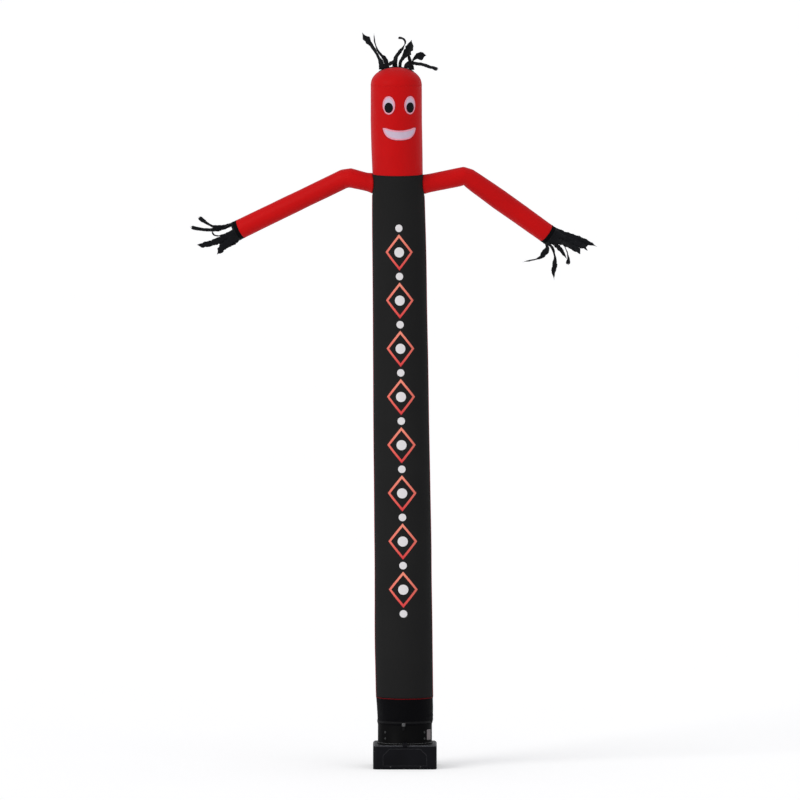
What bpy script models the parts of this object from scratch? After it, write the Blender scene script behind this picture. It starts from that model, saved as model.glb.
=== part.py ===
"""Inflatable air dancer on its blower base: a two-panel cloth tube with a head, two bent arms,
ribbon hands and hair, strapped by its foot sleeve to the blower's outlet ring.

Metres, +Z up, front towards -Y. The origin is the middle of the blower's underside."""

import math
from typing import NamedTuple

import bmesh
import bpy
import numpy as np
from mathutils import Matrix, Vector

# Cloth, gaps and facets
CLOTH = 0.002
GAP = 0.0003
SLOPE_GAP = 0.0005
CROWN_GAP = 0.0007
TUBE_STEPS = 32
ARM_STEPS = 20
FRONT = Vector((0.0, -1.0, 0.0))

# Heights of the seams
SLEEVE_BOTTOM = 0.400
SLEEVE_FULL = 0.560
HEM_BOTTOM = 0.633
HEM_TOP = 0.645
NECK = 5.415
CROWN_SEAM = 6.237
CROWN_RISE = 0.155
CROWN_SHARES = (0.0, 0.17, 0.34, 0.51, 0.68, 0.84, 1.0)


class Station(NamedTuple):
    """A level of the standing tube: its height, its axis's sideways place and its outer radius."""

    z: float
    x: float
    radius: float


TUBE = (
    Station(0.400, 0.000, 0.2491),
    Station(0.412, 0.000, 0.2484),
    Station(0.432, 0.000, 0.2484),
    Station(0.470, 0.004, 0.2535),
    Station(0.560, 0.001, 0.2560),
    Station(0.632, -0.003, 0.2582),
    Station(0.646, -0.003, 0.2582),
    Station(1.070, -0.010, 0.2600),
    Station(1.980, -0.018, 0.2565),
    Station(2.890, -0.030, 0.2530),
    Station(3.810, -0.040, 0.2480),
    Station(4.720, -0.052, 0.2420),
    Station(5.150, -0.058, 0.2380),
    Station(5.330, -0.0615, 0.2345),
    Station(5.415, -0.0655, 0.2305),
    Station(5.480, -0.0680, 0.2310),
    Station(5.640, -0.0725, 0.2330),
    Station(5.900, -0.0785, 0.2340),
    Station(6.237, -0.0790, 0.2335),
)

# Red piping that is caught in the body's side seams and in its hem
PIPING_WIDTH = 0.006
PIPING_PROUD = 0.003
HEM_PROUD = 0.003


class Arm(NamedTuple):
    """An arm's middle line, from inside the body to the wrist, and its outer radii."""

    root: Vector
    elbow_near: Vector
    elbow_far: Vector
    wrist: Vector
    root_radius: float
    elbow_radius: float
    forearm_radius: float
    wrist_radius: float


ARMS = {
    "left": Arm(
        Vector((-0.180, 0.000, 5.302)),
        Vector((-0.494, 0.030, 5.376)),
        Vector((-0.556, 0.042, 5.366)),
        Vector((-1.494, 0.250, 4.892)),
        0.0800,
        0.0880,
        0.0870,
        0.0890,
    ),
    "right": Arm(
        Vector((0.060, 0.000, 5.298)),
        Vector((0.532, 0.042, 5.391)),
        Vector((0.582, 0.052, 5.375)),
        Vector((1.286, 0.230, 4.856)),
        0.0845,
        0.0865,
        0.0950,
        0.0915,
    ),
}
ARM_SIDE = {"left": -1.0, "right": 1.0}
UPPER_ARM_SHARE = 0.7
FOREARM_SHARES = (0.10, 0.40, 0.70)
MITRE_LIMIT = 0.5
ARM_HOLE_REACH = 0.24
SHOULDER_BOTTOM = 5.10
SHOULDER_TOP = 5.60
PIPING_TOP = {"left": 5.234, "right": 5.226}

# Ribbons: the same band of cloth in the hands and the hair
RIBBON_THICKNESS = 0.002
RIBBON_SECTIONS = 13
RIBBON_TIP = 0.35
RIBBON_LEAD_STEPS = 3
CUFF_LENGTH = 0.040
CUFF_TAPER = 0.99
CUFF_RIM = 0.014
CUFF_WALL = 0.003
CUFF_BITE = 0.008


class Ribbon(NamedTuple):
    """One ribbon. The headings, in degrees anticlockwise from +X as seen from the front, and the
    rolls, in degrees, which turn the flat side away from the front, are at four even places."""

    root: float
    depth: float
    length: float
    width: float
    lean: float
    headings: tuple
    rolls: tuple


# In a hand, root is the place round the wrist in degrees, 0 at the front and 90 at the top,
# and depth is not used.
LEFT_HAND = (
    Ribbon(80, 0.0, 0.330, 0.046, 4, (200, 186, 150, 142), (60, 20, 50, 10)),
    Ribbon(125, 0.0, 0.414, 0.050, 14, (201, 197, 176, 164), (60, 10, 20, 10)),
    Ribbon(0, 0.0, 0.365, 0.060, -4, (208, 204, 196, 192), (0, 20, 15, 10)),
    Ribbon(-30, 0.0, 0.255, 0.066, -12, (209, 217, 226, 236), (-20, 0, 5, 20)),
    Ribbon(-80, 0.0, 0.185, 0.042, 0, (206, 204, 207, 222), (-60, -20, 10, -30)),
    Ribbon(-130, 0.0, 0.225, 0.040, 12, (208, 205, 196, 190), (-60, -40, -55, -30)),
    Ribbon(180, 0.0, 0.290, 0.038, 24, (206, 202, 190, 125), (0, 30, 60, 60)),
)
RIGHT_HAND = (
    Ribbon(72, 0.0, 0.415, 0.054, 2, (-36, -16, -22, -27), (50, 20, 10, 30)),
    Ribbon(35, 0.0, 0.345, 0.054, -8, (-31, -19, -22, -24), (30, 10, 15, 10)),
    Ribbon(5, 0.0, 0.306, 0.058, -14, (-30, -19, -24, -30), (0, 10, 15, 5)),
    Ribbon(-95, 0.0, 0.335, 0.056, 4, (-120, -128, -172, -162), (-40, 0, 66, 60)),
    Ribbon(-45, 0.0, 0.372, 0.044, -6, (-50, -66, -98, -84), (-50, -55, 10, 60)),
    Ribbon(-20, 0.0, 0.240, 0.040, -8, (-32, -42, -58, -56), (-20, -15, 30, 60)),
    Ribbon(150, 0.0, 0.400, 0.038, 22, (-46, -60, -70, -104), (10, 50, 82, 15)),
)
# In the hair, root is the sideways place from the crown's middle and depth the place behind it.
HAIR = (
    Ribbon(-0.130, 0.008, 0.418, 0.058, 6, (112, 118, 132, 112), (0, 58, 35, 12)),
    Ribbon(-0.088, -0.012, 0.385, 0.048, -12, (98, 136, 104, 92), (5, 20, 62, 70)),
    Ribbon(-0.012, 0.014, 0.366, 0.048, 14, (86, 50, 56, 215), (15, 45, 62, 50)),
    Ribbon(-0.080, -0.010, 0.130, 0.036, -10, (74, 40, 24, 20), (5, 20, 40, 50)),
    Ribbon(0.034, 0.010, 0.300, 0.060, 4, (66, 50, 64, 84), (50, 10, 8, 20)),
    Ribbon(0.130, -0.014, 0.180, 0.034, -8, (80, 96, 108, 112), (20, 25, 30, 40)),
    Ribbon(0.136, 0.012, 0.256, 0.060, 16, (88, 66, 8, 4), (45, 50, 10, 5)),
    Ribbon(0.092, -0.002, 0.350, 0.046, -4, (-28, -4, -16, -19), (50, 45, 42, 40)),
)
HAIR_BAND_REACH = 0.160
HAIR_BAND_WIDTH = 0.048
HAIR_BAND_THICKNESS = 0.004
HAIR_ROOT_DEPTH = 0.024

# Face patches: the turn of the face towards +X, then each patch's own turn and size
FACE_TURN = 7.9
EYE_TURN = 25.0
EYE_Z = 6.061
EYE_WIDTH = 0.122
EYE_HEIGHT = 0.168
PUPIL_Z = 6.039
PUPIL_WIDTH = 0.075
PUPIL_HEIGHT = 0.090
PATCH = 0.001
PATCH_REACH = 0.4
ELLIPSE_STEPS = 28
MOUTH_Z = 5.793
MOUTH_HALF_TURN = 41.2
MOUTH_THICKNESS = 0.080
MOUTH_LIFT = 0.030
MOUTH_SINK = 0.2
MOUTH_FULLNESS = 3.2
MOUTH_TURN = 8.2
MOUTH_POINTS = 12

# Blower
BASE_WIDTH = 0.580
BASE_DEPTH = 0.580
BASE_HEIGHT = 0.218
BASE_SHOULDER = 0.024
BASE_CORNER = 0.040
BASE_UNDERCUT = 0.006
INTAKE_WIDTH = 0.400
INTAKE_BOTTOM = 0.032
INTAKE_TOP = 0.188
INTAKE_CHAMFER = 0.060
INTAKE_DEPTH = 0.006
RING_RADIUS = 0.2460
RING_WALL = 0.005
RING_TOP = 0.500
FLANGE_RADIUS = 0.253
FLANGE_HEIGHT = 0.012
FLANGE_SLOPE = 0.003
BOLT_TURN = 46.0
BOLT_LEVELS = (0.330, 0.2735)
BOLT_HEAD_RADIUS = 0.010
BOLT_HEAD_HEIGHT = 0.006
BOLT_SHANK_RADIUS = 0.004
BOLT_HOLE_REACH = 0.05
BOLT_STEPS = 12
PLATE_FROM = 54.0
PLATE_TO = 71.0
PLATE_BOTTOM = 0.257
PLATE_TOP = 0.353
STRAP_BOTTOM = 0.4122
STRAP_TOP = 0.4318
STRAP_THICKNESS = 0.002
BUCKLE_X = -0.012
BUCKLE_Z = 0.406
BUCKLE_SIDE = 0.030
BUCKLE_DEPTH = 0.010
BUCKLE_ROUND = 0.003
TAIL_WIDTH = 0.020
TAIL_LENGTH = 0.078
LATCH_WIDTH = 0.040
LATCH_BOTTOM = 0.206
LATCH_TOP = 0.246
LATCH_PROUD = 0.008
LATCH_DEPTH = 0.044
LATCH_ROUND = 0.004

RED, BLACK, SLEEVE_BLACK, WHITE, PLASTIC, METAL = (
    ("red_cloth", (0.60, 0.012, 0.014), 0.55, 0.0),
    ("black_cloth", (0.018, 0.018, 0.018), 0.60, 0.0),
    ("sleeve_cloth", (0.006, 0.006, 0.007), 0.65, 0.0),
    ("white_cloth", (0.75, 0.68, 0.73), 0.55, 0.0),
    ("black_plastic", (0.007, 0.007, 0.009), 0.40, 0.0),
    ("grey_metal", (0.30, 0.30, 0.30), 0.40, 0.8),
)


def clear_scene():
    """Removes the startup objects."""
    for item in list(bpy.data.objects):
        bpy.data.objects.remove(item, do_unlink=True)


def collection(name):
    """A new collection in the scene."""
    made = bpy.data.collections.new(name)
    bpy.context.scene.collection.children.link(made)
    return made


def material(finish):
    """The Principled material of a finish, made once."""
    name, colour, roughness, metallic = finish
    made = bpy.data.materials.get(name)
    if made is None:
        made = bpy.data.materials.new(name)
        made.use_nodes = True
        shader = made.node_tree.nodes["Principled BSDF"]
        shader.inputs["Base Color"].default_value = (*colour, 1.0)
        shader.inputs["Roughness"].default_value = roughness
        shader.inputs["Metallic"].default_value = metallic
    return made


def new_object(name, shape, where, finish=None):
    """An object for a finished bmesh, which is freed."""
    mesh = bpy.data.meshes.new(name)
    shape.to_mesh(mesh)
    shape.free()
    made = bpy.data.objects.new(name, mesh)
    where.objects.link(made)
    if finish is not None:
        mesh.materials.append(material(finish))
    return made


def as_cutter(made):
    """Marks an object as a helper that isn't part of the model."""
    made.hide_render = True
    made.display_type = "WIRE"
    return made


def boolean(made, other, operation):
    """Adds an exact Boolean of one object with another."""
    step = made.modifiers.new(operation.title(), "BOOLEAN")
    step.operation = operation
    step.solver = "EXACT"
    step.object = other
    return made


def sweep(sections, start, turn, steps, trim=0.0):
    """A bmesh surface through the sections, which are matrices that carry the unit circle to its
    places. The circle's arc begins at start and covers turn, both in degrees, and trim is the
    share of a step that is cut off each end."""
    shape = bmesh.new()
    whole = turn >= 360.0
    begin = shape.verts.new(Matrix.Rotation(math.radians(start), 3, "Z") @ Vector((1.0, 0.0, 0.0)))
    bmesh.ops.spin(
        shape,
        geom=[begin],
        cent=(0.0, 0.0, 0.0),
        axis=(0.0, 0.0, 1.0),
        angle=math.radians(turn),
        steps=steps,
        use_duplicate=False,
    )
    if whole:
        bmesh.ops.remove_doubles(shape, verts=shape.verts[:], dist=1e-4)
    elif trim:
        ends = [vert for vert in shape.verts if len(vert.link_edges) == 1]
        places = [vert.link_edges[0].other_vert(vert).co.copy() for vert in ends]
        for vert, inner in zip(ends, places):
            vert.co = vert.co.lerp(inner, trim)
    edges = shape.edges[:]
    bmesh.ops.transform(shape, matrix=sections[0], verts=shape.verts[:])
    for before, after in zip(sections, sections[1:]):
        grown = bmesh.ops.extrude_edge_only(shape, edges=edges)["geom"]
        ring = [item for item in grown if isinstance(item, bmesh.types.BMVert)]
        fresh = set(ring)
        edges = [
            item
            for item in grown
            if isinstance(item, bmesh.types.BMEdge) and fresh.issuperset(item.verts)
        ]
        bmesh.ops.transform(shape, matrix=after @ before.inverted(), verts=ring)
    return shape


def face_outwards(shape, middle_at):
    """Turns every face away from the middle that middle_at gives for a point."""
    shape.normal_update()
    inward = [
        face
        for face in shape.faces
        if face.normal.dot(face.calc_center_median() - middle_at(face.calc_center_median())) < 0.0
    ]
    bmesh.ops.reverse_faces(shape, faces=inward)
    return shape


def thicken(made, thickness):
    """Gives an open surface its thickness, inwards."""
    step = made.modifiers.new("Thickness", "SOLIDIFY")
    step.thickness = thickness
    step.offset = -1.0
    step.use_even_offset = True
    return made


def tube_place(z):
    """The axis's sideways place and the outer radius of the standing tube at a height."""
    levels = [station.z for station in TUBE]
    return (
        float(np.interp(z, levels, [station.x for station in TUBE])),
        float(np.interp(z, levels, [station.radius for station in TUBE])),
    )


def tube_section(z, proud=0.0):
    """The matrix that carries the unit circle to the tube's section, proud metres outside it."""
    x, radius = tube_place(z)
    size = radius + proud
    return Matrix.Translation((x, 0.0, z)) @ Matrix.Diagonal((size, size, 1.0, 1.0))


def tube_middle(point):
    """The tube's middle at a point's height."""
    return Vector((tube_place(point.z)[0], 0.0, point.z))


def tube_panel(
    name, levels, start, turn, steps, where, finish, proud=0.0, thickness=CLOTH, trim=0.0
):
    """A panel of the standing tube between its lowest and highest level."""
    shape = sweep([tube_section(z, proud) for z in levels], start, turn, steps, trim)
    made = new_object(name, face_outwards(shape, tube_middle), where, finish)
    return thicken(made, thickness)


def tube_levels(bottom, top):
    """The two heights and every station of the tube between them."""
    margin = 0.01
    between = [station.z for station in TUBE if bottom + margin < station.z < top - margin]
    return [bottom, *between, top]


def cylinder(name, radius, depth, place, axis, where, finish=None, steps=24):
    """A closed cylinder whose middle is at place."""
    shape = bmesh.new()
    bmesh.ops.create_cone(
        shape, cap_ends=True, segments=steps, radius1=radius, radius2=radius, depth=depth
    )
    turned = Vector((0.0, 0.0, 1.0)).rotation_difference(axis).to_matrix().to_4x4()
    bmesh.ops.transform(
        shape, matrix=Matrix.Translation(place) @ turned, verts=shape.verts[:]
    )
    return new_object(name, shape, where, finish)


def rounded_box(name, size, place, rounding, where, finish, segments=2):
    """A box with its edges rounded."""
    shape = bmesh.new()
    bmesh.ops.create_cube(shape, size=1.0)
    bmesh.ops.transform(
        shape, matrix=Matrix.Translation(place) @ Matrix.Diagonal((*size, 1.0)), verts=shape.verts[:]
    )
    bmesh.ops.bevel(
        shape,
        geom=shape.edges[:],
        offset=rounding,
        segments=segments,
        profile=0.5,
        affect="EDGES",
        material=-1,
    )
    return new_object(name, shape, where, finish)


def arm_sections(arm):
    """The sections of an arm's tube, with its elbow cut in two mitres."""
    line = [arm.root, arm.elbow_near, arm.elbow_far, arm.wrist]
    runs = [(b - a).normalized() for a, b in zip(line, line[1:])]
    rings = [(arm.root, runs[0], runs[0], arm.root_radius)]
    upper = arm.root.lerp(arm.elbow_near, UPPER_ARM_SHARE)
    rings.append((upper, runs[0], runs[0], (arm.root_radius + arm.elbow_radius) / 2))
    rings.append((arm.elbow_near, runs[0], runs[1], arm.elbow_radius))
    rings.append((arm.elbow_far, runs[1], runs[2], arm.elbow_radius))
    middle_radius = (arm.forearm_radius + arm.wrist_radius) / 2
    radii = (arm.forearm_radius, arm.forearm_radius, middle_radius)
    for share, radius in zip(FOREARM_SHARES, radii):
        rings.append((arm.elbow_far.lerp(arm.wrist, share), runs[2], runs[2], radius))
    rings.append((arm.wrist, runs[2], runs[2], arm.wrist_radius))
    return [ring_matrix(*ring) for ring in rings]


def ring_matrix(middle, before, after, radius):
    """The matrix of a ring whose plane halves the turn between two runs. Its first axis points
    to the front and its second to the outside of the bend."""
    normal = (before + after).normalized()
    front = (FRONT - normal * FRONT.dot(normal)).normalized()
    across = normal.cross(front)
    stretch = 1.0 / max(MITRE_LIMIT, math.cos(before.angle(after) / 2))
    return Matrix(
        (
            (front.x * radius, across.x * radius * stretch, normal.x, middle.x),
            (front.y * radius, across.y * radius * stretch, normal.y, middle.y),
            (front.z * radius, across.z * radius * stretch, normal.z, middle.z),
            (0.0, 0.0, 0.0, 1.0),
        )
    )


def nearest_on_line(line):
    """A function that gives the nearest point of a broken line."""

    def middle(point):
        found = []
        for a, b in zip(line, line[1:]):
            along = max(0.0, min(1.0, (point - a).dot(b - a) / (b - a).length_squared))
            found.append(a.lerp(b, along))
        return min(found, key=lambda place: (place - point).length)

    return middle


def arm_tube(side, arm, envelope, where):
    """An arm's tube, whose root is cut to the body's side."""
    shape = sweep(arm_sections(arm), 0.0, 360.0, ARM_STEPS)
    face_outwards(shape, nearest_on_line([arm.root, arm.elbow_near, arm.elbow_far, arm.wrist]))
    made = thicken(new_object(f"arm_{side}", shape, where, RED), CLOTH)
    return boolean(made, envelope, "DIFFERENCE")


def ribbon_shape(root, first_roll, ribbon, lead):
    """A ribbon's closed bmesh. It leaves its root along lead, turned by the first roll."""
    step = ribbon.length / (RIBBON_SECTIONS - 1)
    marks = np.linspace(0.0, 1.0, len(ribbon.headings))
    second = ribbon.rolls[1]
    rolls = (second + (first_roll - second + 90.0) % 180.0 - 90.0, *ribbon.rolls[1:])
    lean = math.radians(ribbon.lean)
    place = root.copy()
    sections = []
    for index in range(RIBBON_SECTIONS):
        share = index / (RIBBON_SECTIONS - 1)
        heading = math.radians(float(np.interp(share, marks, ribbon.headings)))
        turned = math.radians(float(np.interp(share, marks, rolls)))
        away = min(1.0, index / RIBBON_LEAD_STEPS)
        run = Vector(
            (
                math.cos(heading) * math.cos(lean),
                math.sin(lean),
                math.sin(heading) * math.cos(lean),
            )
        )
        run = lead.lerp(run, away).normalized()
        side = run.cross(Vector((0.0, 1.0, 0.0))).normalized()
        across = side * math.cos(turned) + side.cross(run) * math.sin(turned)
        width = ribbon.width * (RIBBON_TIP if index == RIBBON_SECTIONS - 1 else 1.0)
        sections.append(ribbon_section(place, across, run.cross(across), run, width))
        place = place + run * step
    shape = sweep(sections, 45.0, 360.0, 4)
    ends = [edge for edge in shape.edges if edge.is_boundary]
    bmesh.ops.holes_fill(shape, edges=ends, sides=4)
    bmesh.ops.triangulate(shape, faces=shape.faces[:])
    bmesh.ops.recalc_face_normals(shape, faces=shape.faces[:])
    return shape


def ribbon_section(place, across, through, run, width):
    """The matrix that carries a square on the unit circle to a ribbon's cross-section."""
    wide = across * (width / math.sqrt(2))
    thick = through * (RIBBON_THICKNESS / math.sqrt(2))
    return Matrix(
        (
            (wide.x, thick.x, run.x, place.x),
            (wide.y, thick.y, run.y, place.y),
            (wide.z, thick.z, run.z, place.z),
            (0.0, 0.0, 0.0, 1.0),
        )
    )


def wrist_band(name, arm, start, end, where, wall):
    """A band of cloth round an arm's line, from start to end metres past its wrist."""
    axis = (arm.wrist - arm.elbow_far).normalized()
    narrowing = arm.wrist_radius * (1.0 - CUFF_TAPER) / CUFF_LENGTH
    rings = [
        ring_matrix(arm.wrist + axis * out, axis, axis, arm.wrist_radius - narrowing * out)
        for out in (start, end)
    ]
    shape = sweep(rings, 0.0, 360.0, ARM_STEPS)
    face_outwards(shape, nearest_on_line([arm.wrist - axis, arm.wrist + axis]))
    return thicken(new_object(name, shape, where, SLEEVE_BLACK), wall), rings[-1], axis


def hand(side, arm, ribbons, where, helpers):
    """A wrist's cuff, and past it the hand's ribbons, fused into a rim."""
    wrist_band(f"cuff_{side}", arm, GAP, CUFF_LENGTH, where, CLOTH)
    start = CUFF_LENGTH + GAP
    rim, ring, axis = wrist_band(
        f"hand_{side}", arm, start, start + CUFF_RIM, where, CUFF_WALL
    )
    sunk = Matrix.Translation(-axis * CUFF_BITE) @ ring
    inset = 1.0 - CUFF_WALL / 2 / arm.wrist_radius
    flip = ARM_SIDE[side]
    for number, ribbon in enumerate(ribbons, start=1):
        around = math.radians(-flip * ribbon.root)
        root = sunk @ (Vector((math.cos(around), math.sin(around), 0.0)) * inset)
        shape = ribbon_shape(root, flip * ribbon.root, ribbon, axis)
        cutter = as_cutter(new_object(f"hand_{side}_ribbon_{number}", shape, helpers))
        boolean(rim, cutter, "UNION")
    return rim


def crown_section(share, proud=0.0):
    """The crown's section at a share of the quarter turn from its seam to its top."""
    x, radius = tube_place(CROWN_SEAM)
    turn = share * math.pi / 2
    size = max((radius + proud) * math.cos(turn), 1e-5)
    z = CROWN_SEAM + (CROWN_RISE + proud) * math.sin(turn)
    return Matrix.Translation((x, 0.0, z)) @ Matrix.Diagonal((size, size, 1.0, 1.0))


def crown_shell(name, where, finish, proud=0.0, thickness=CLOTH):
    """The domed crown, or a shell that lies proud metres outside it."""
    sections = [crown_section(share, proud) for share in CROWN_SHARES]
    sections[0] = Matrix.Translation((0.0, 0.0, CROWN_GAP)) @ sections[0]
    shape = sweep(sections, 0.0, 360.0, TUBE_STEPS)
    bmesh.ops.remove_doubles(shape, verts=shape.verts[:], dist=1e-4)
    inside = Vector((tube_place(CROWN_SEAM)[0], 0.0, CROWN_SEAM))
    face_outwards(shape, lambda point: inside)
    return thicken(new_object(name, shape, where, finish), thickness)


def crown_core(helpers):
    """A closed dome just outside the crown, which keeps the hair's roots off it."""
    out = GAP + HAIR_BAND_THICKNESS / 4
    sections = [Matrix.Translation((0.0, 0.0, -CROWN_RISE / 2)) @ crown_section(0.0, out)]
    sections += [crown_section(share, out) for share in CROWN_SHARES]
    shape = sweep(sections, 0.0, 360.0, TUBE_STEPS)
    bmesh.ops.remove_doubles(shape, verts=shape.verts[:], dist=1e-4)
    ends = [edge for edge in shape.edges if edge.is_boundary]
    bmesh.ops.holes_fill(shape, edges=ends, sides=TUBE_STEPS)
    bmesh.ops.recalc_face_normals(shape, faces=shape.faces[:])
    return as_cutter(new_object("crown_core", shape, helpers))


def hair(where, helpers):
    """The hair: a band across the crown with its ribbons fused into it."""
    band = crown_shell(
        "hair", where, SLEEVE_BLACK, HAIR_BAND_THICKNESS + GAP, HAIR_BAND_THICKNESS
    )
    x = tube_place(CROWN_SEAM)[0]
    block = rounded_box(
        "hair_band_outline",
        (2 * HAIR_BAND_REACH, HAIR_BAND_WIDTH, CROWN_RISE * 2),
        (x, 0.0, CROWN_SEAM + CROWN_RISE),
        0.004,
        helpers,
        None,
        segments=1,
    )
    boolean(band, as_cutter(block), "INTERSECT")
    core = crown_core(helpers)
    for number, ribbon in enumerate(HAIR, start=1):
        reach = math.hypot(ribbon.root, ribbon.depth) / tube_place(CROWN_SEAM)[1]
        rise = CROWN_RISE * math.sqrt(1.0 - reach * reach) - HAIR_ROOT_DEPTH
        root = Vector((x + ribbon.root, ribbon.depth, CROWN_SEAM + rise))
        shape = ribbon_shape(root, 0.0, ribbon, Vector((0.0, 0.0, 1.0)))
        strand = as_cutter(new_object(f"hair_ribbon_{number}", shape, helpers))
        boolean(strand, core, "DIFFERENCE")
        boolean(band, strand, "UNION")
    return band


def face_prism(name, outline, turn, z, helpers):
    """A prism that runs out of the head along a turned direction, from an outline in metres."""
    shape = bmesh.new()
    verts = [shape.verts.new((x, 0.0, height)) for x, height in outline]
    face = shape.faces.new(verts)
    grown = bmesh.ops.extrude_face_region(shape, geom=[face])["geom"]
    outer = [item for item in grown if isinstance(item, bmesh.types.BMVert)]
    bmesh.ops.translate(shape, vec=(0.0, -PATCH_REACH, 0.0), verts=outer)
    bmesh.ops.recalc_face_normals(shape, faces=shape.faces[:])
    middle = Matrix.Translation((tube_place(z)[0], 0.0, z))
    turned = Matrix.Rotation(math.radians(turn), 4, "Z")
    bmesh.ops.transform(shape, matrix=middle @ turned, verts=shape.verts[:])
    return as_cutter(new_object(name, shape, helpers))


def ellipse(width, height):
    """The points of an upright ellipse."""
    turns = [2 * math.pi * index / ELLIPSE_STEPS for index in range(ELLIPSE_STEPS)]
    return [(width / 2 * math.cos(turn), height / 2 * math.sin(turn)) for turn in turns]


def smile(radius):
    """The points of the mouth: a band that rises and narrows towards its ends."""
    lower, upper = [], []
    for index in range(MOUTH_POINTS + 1):
        share = 2.0 * index / MOUTH_POINTS - 1.0
        x = radius * math.sin(math.radians(MOUTH_HALF_TURN * share))
        lift = MOUTH_LIFT * share * share
        body = MOUTH_THICKNESS * (1.0 - abs(share) ** MOUTH_FULLNESS) ** 0.5
        top = lift + MOUTH_THICKNESS / 2 - MOUTH_LIFT * MOUTH_SINK
        upper.append((x, top))
        lower.append((x, top - body))
    return lower[:-1] + upper[::-1][:-1]


def face_patch(name, cutter, lift, where, finish):
    """A patch of cloth on the head's front panel, lift metres above its surface."""
    levels = [NECK + GAP, *tube_levels(NECK, CROWN_SEAM)[1:]]
    patch = tube_panel(
        name, levels, 180.0, 180.0, TUBE_STEPS // 2, where, finish, lift + PATCH, PATCH
    )
    return boolean(patch, cutter, "INTERSECT")


def face(where, helpers):
    """Eyes, pupils and mouth."""
    for side, sign in (("left", -1.0), ("right", 1.0)):
        turn = FACE_TURN + sign * EYE_TURN
        white = face_prism(
            f"eye_outline_{side}", ellipse(EYE_WIDTH, EYE_HEIGHT), turn, EYE_Z, helpers
        )
        face_patch(f"eye_white_{side}", white, GAP, where, WHITE)
        pupil = face_prism(
            f"pupil_outline_{side}", ellipse(PUPIL_WIDTH, PUPIL_HEIGHT), turn, PUPIL_Z, helpers
        )
        face_patch(f"pupil_{side}", pupil, 2 * GAP + PATCH, where, SLEEVE_BLACK)
    outline = smile(tube_place(MOUTH_Z)[1])
    mouth = face_prism("mouth_outline", outline, MOUTH_TURN, MOUTH_Z, helpers)
    face_patch("mouth", mouth, GAP, where, WHITE)


def body(where, helpers):
    """The body's front and back panels, the piping in their seams, and the arms' holes."""
    levels = tube_levels(HEM_TOP + GAP, NECK)
    _, narrowest = tube_place(NECK)
    trim = (PIPING_WIDTH / 2 + SLOPE_GAP) / (2 * narrowest * math.sin(math.pi / TUBE_STEPS))
    piping = math.degrees(PIPING_WIDTH / 2 / narrowest)
    panels = [
        tube_panel(
            f"body_{panel}", levels, start, 180.0, TUBE_STEPS // 2, where, BLACK, trim=trim
        )
        for panel, start in (("back", 0.0), ("front", 180.0))
    ]
    for side, arm in ARMS.items():
        run = (arm.elbow_near - arm.root).normalized()
        hole = cylinder(
            f"arm_hole_{side}",
            arm.root_radius - CLOTH,
            ARM_HOLE_REACH,
            arm.root + run * ARM_HOLE_REACH / 2,
            run,
            helpers,
        )
        for panel in panels:
            boolean(panel, as_cutter(hole), "DIFFERENCE")
        middle = 180.0 if side == "left" else 0.0
        tube_panel(
            f"side_piping_{side}",
            tube_levels(HEM_TOP + GAP, PIPING_TOP[side]),
            middle - piping,
            2 * piping,
            1,
            where,
            RED,
            PIPING_PROUD,
            PIPING_PROUD + CLOTH,
        )
    tube_panel(
        "hem_piping",
        [HEM_BOTTOM, HEM_TOP],
        0.0,
        360.0,
        TUBE_STEPS,
        where,
        RED,
        HEM_PROUD,
        HEM_PROUD + CLOTH,
    )


def head(where):
    """The head's tube and its crown."""
    levels = [NECK + GAP, *tube_levels(NECK, CROWN_SEAM)[1:]]
    tube_panel("head", levels, 0.0, 360.0, TUBE_STEPS, where, RED)
    crown_shell("crown", where, RED)


def arms(where, helpers):
    """Both arms and their hands. An arm's root is cut to the body's side."""
    levels = tube_levels(SHOULDER_BOTTOM, SHOULDER_TOP)
    shape = sweep([tube_section(z, GAP) for z in levels], 0.0, 360.0, TUBE_STEPS)
    bmesh.ops.holes_fill(
        shape, edges=[edge for edge in shape.edges if edge.is_boundary], sides=TUBE_STEPS
    )
    bmesh.ops.recalc_face_normals(shape, faces=shape.faces[:])
    envelope = as_cutter(new_object("body_envelope", shape, helpers))
    for side, arm in ARMS.items():
        arm_tube(side, arm, envelope, where)
        hand(side, arm, LEFT_HAND if side == "left" else RIGHT_HAND, where, helpers)


def foot(where, helpers):
    """The foot sleeve, and the strap that holds it on the outlet ring."""
    tube_panel(
        "foot_sleeve",
        [*tube_levels(SLEEVE_BOTTOM, SLEEVE_FULL), HEM_BOTTOM - SLOPE_GAP],
        0.0,
        360.0,
        TUBE_STEPS,
        where,
        SLEEVE_BLACK,
    )
    strap_out = GAP + STRAP_THICKNESS
    strap = tube_panel(
        "strap",
        [STRAP_BOTTOM, STRAP_TOP],
        0.0,
        360.0,
        TUBE_STEPS,
        where,
        SLEEVE_BLACK,
        strap_out,
        STRAP_THICKNESS,
    )
    strap_face = -(tube_place(BUCKLE_Z)[1] + strap_out)
    tail = rounded_box(
        "strap_tail",
        (TAIL_WIDTH, STRAP_THICKNESS, TAIL_LENGTH),
        (BUCKLE_X, strap_face, STRAP_TOP - TAIL_LENGTH / 2 - GAP),
        STRAP_THICKNESS / 5,
        helpers,
        None,
        segments=1,
    )
    boolean(strap, as_cutter(tail), "UNION")
    rounded_box(
        "strap_buckle",
        (BUCKLE_SIDE, BUCKLE_DEPTH, BUCKLE_SIDE),
        (BUCKLE_X, strap_face - STRAP_THICKNESS / 2 - GAP - BUCKLE_DEPTH / 2, BUCKLE_Z),
        BUCKLE_ROUND,
        where,
        METAL,
    )


def on_ring(turn, z, out):
    """A point out metres from the ring's axis, at a turn from the front towards +X."""
    angle = math.radians(turn)
    return Vector((out * math.sin(angle), -out * math.cos(angle), z))


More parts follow.
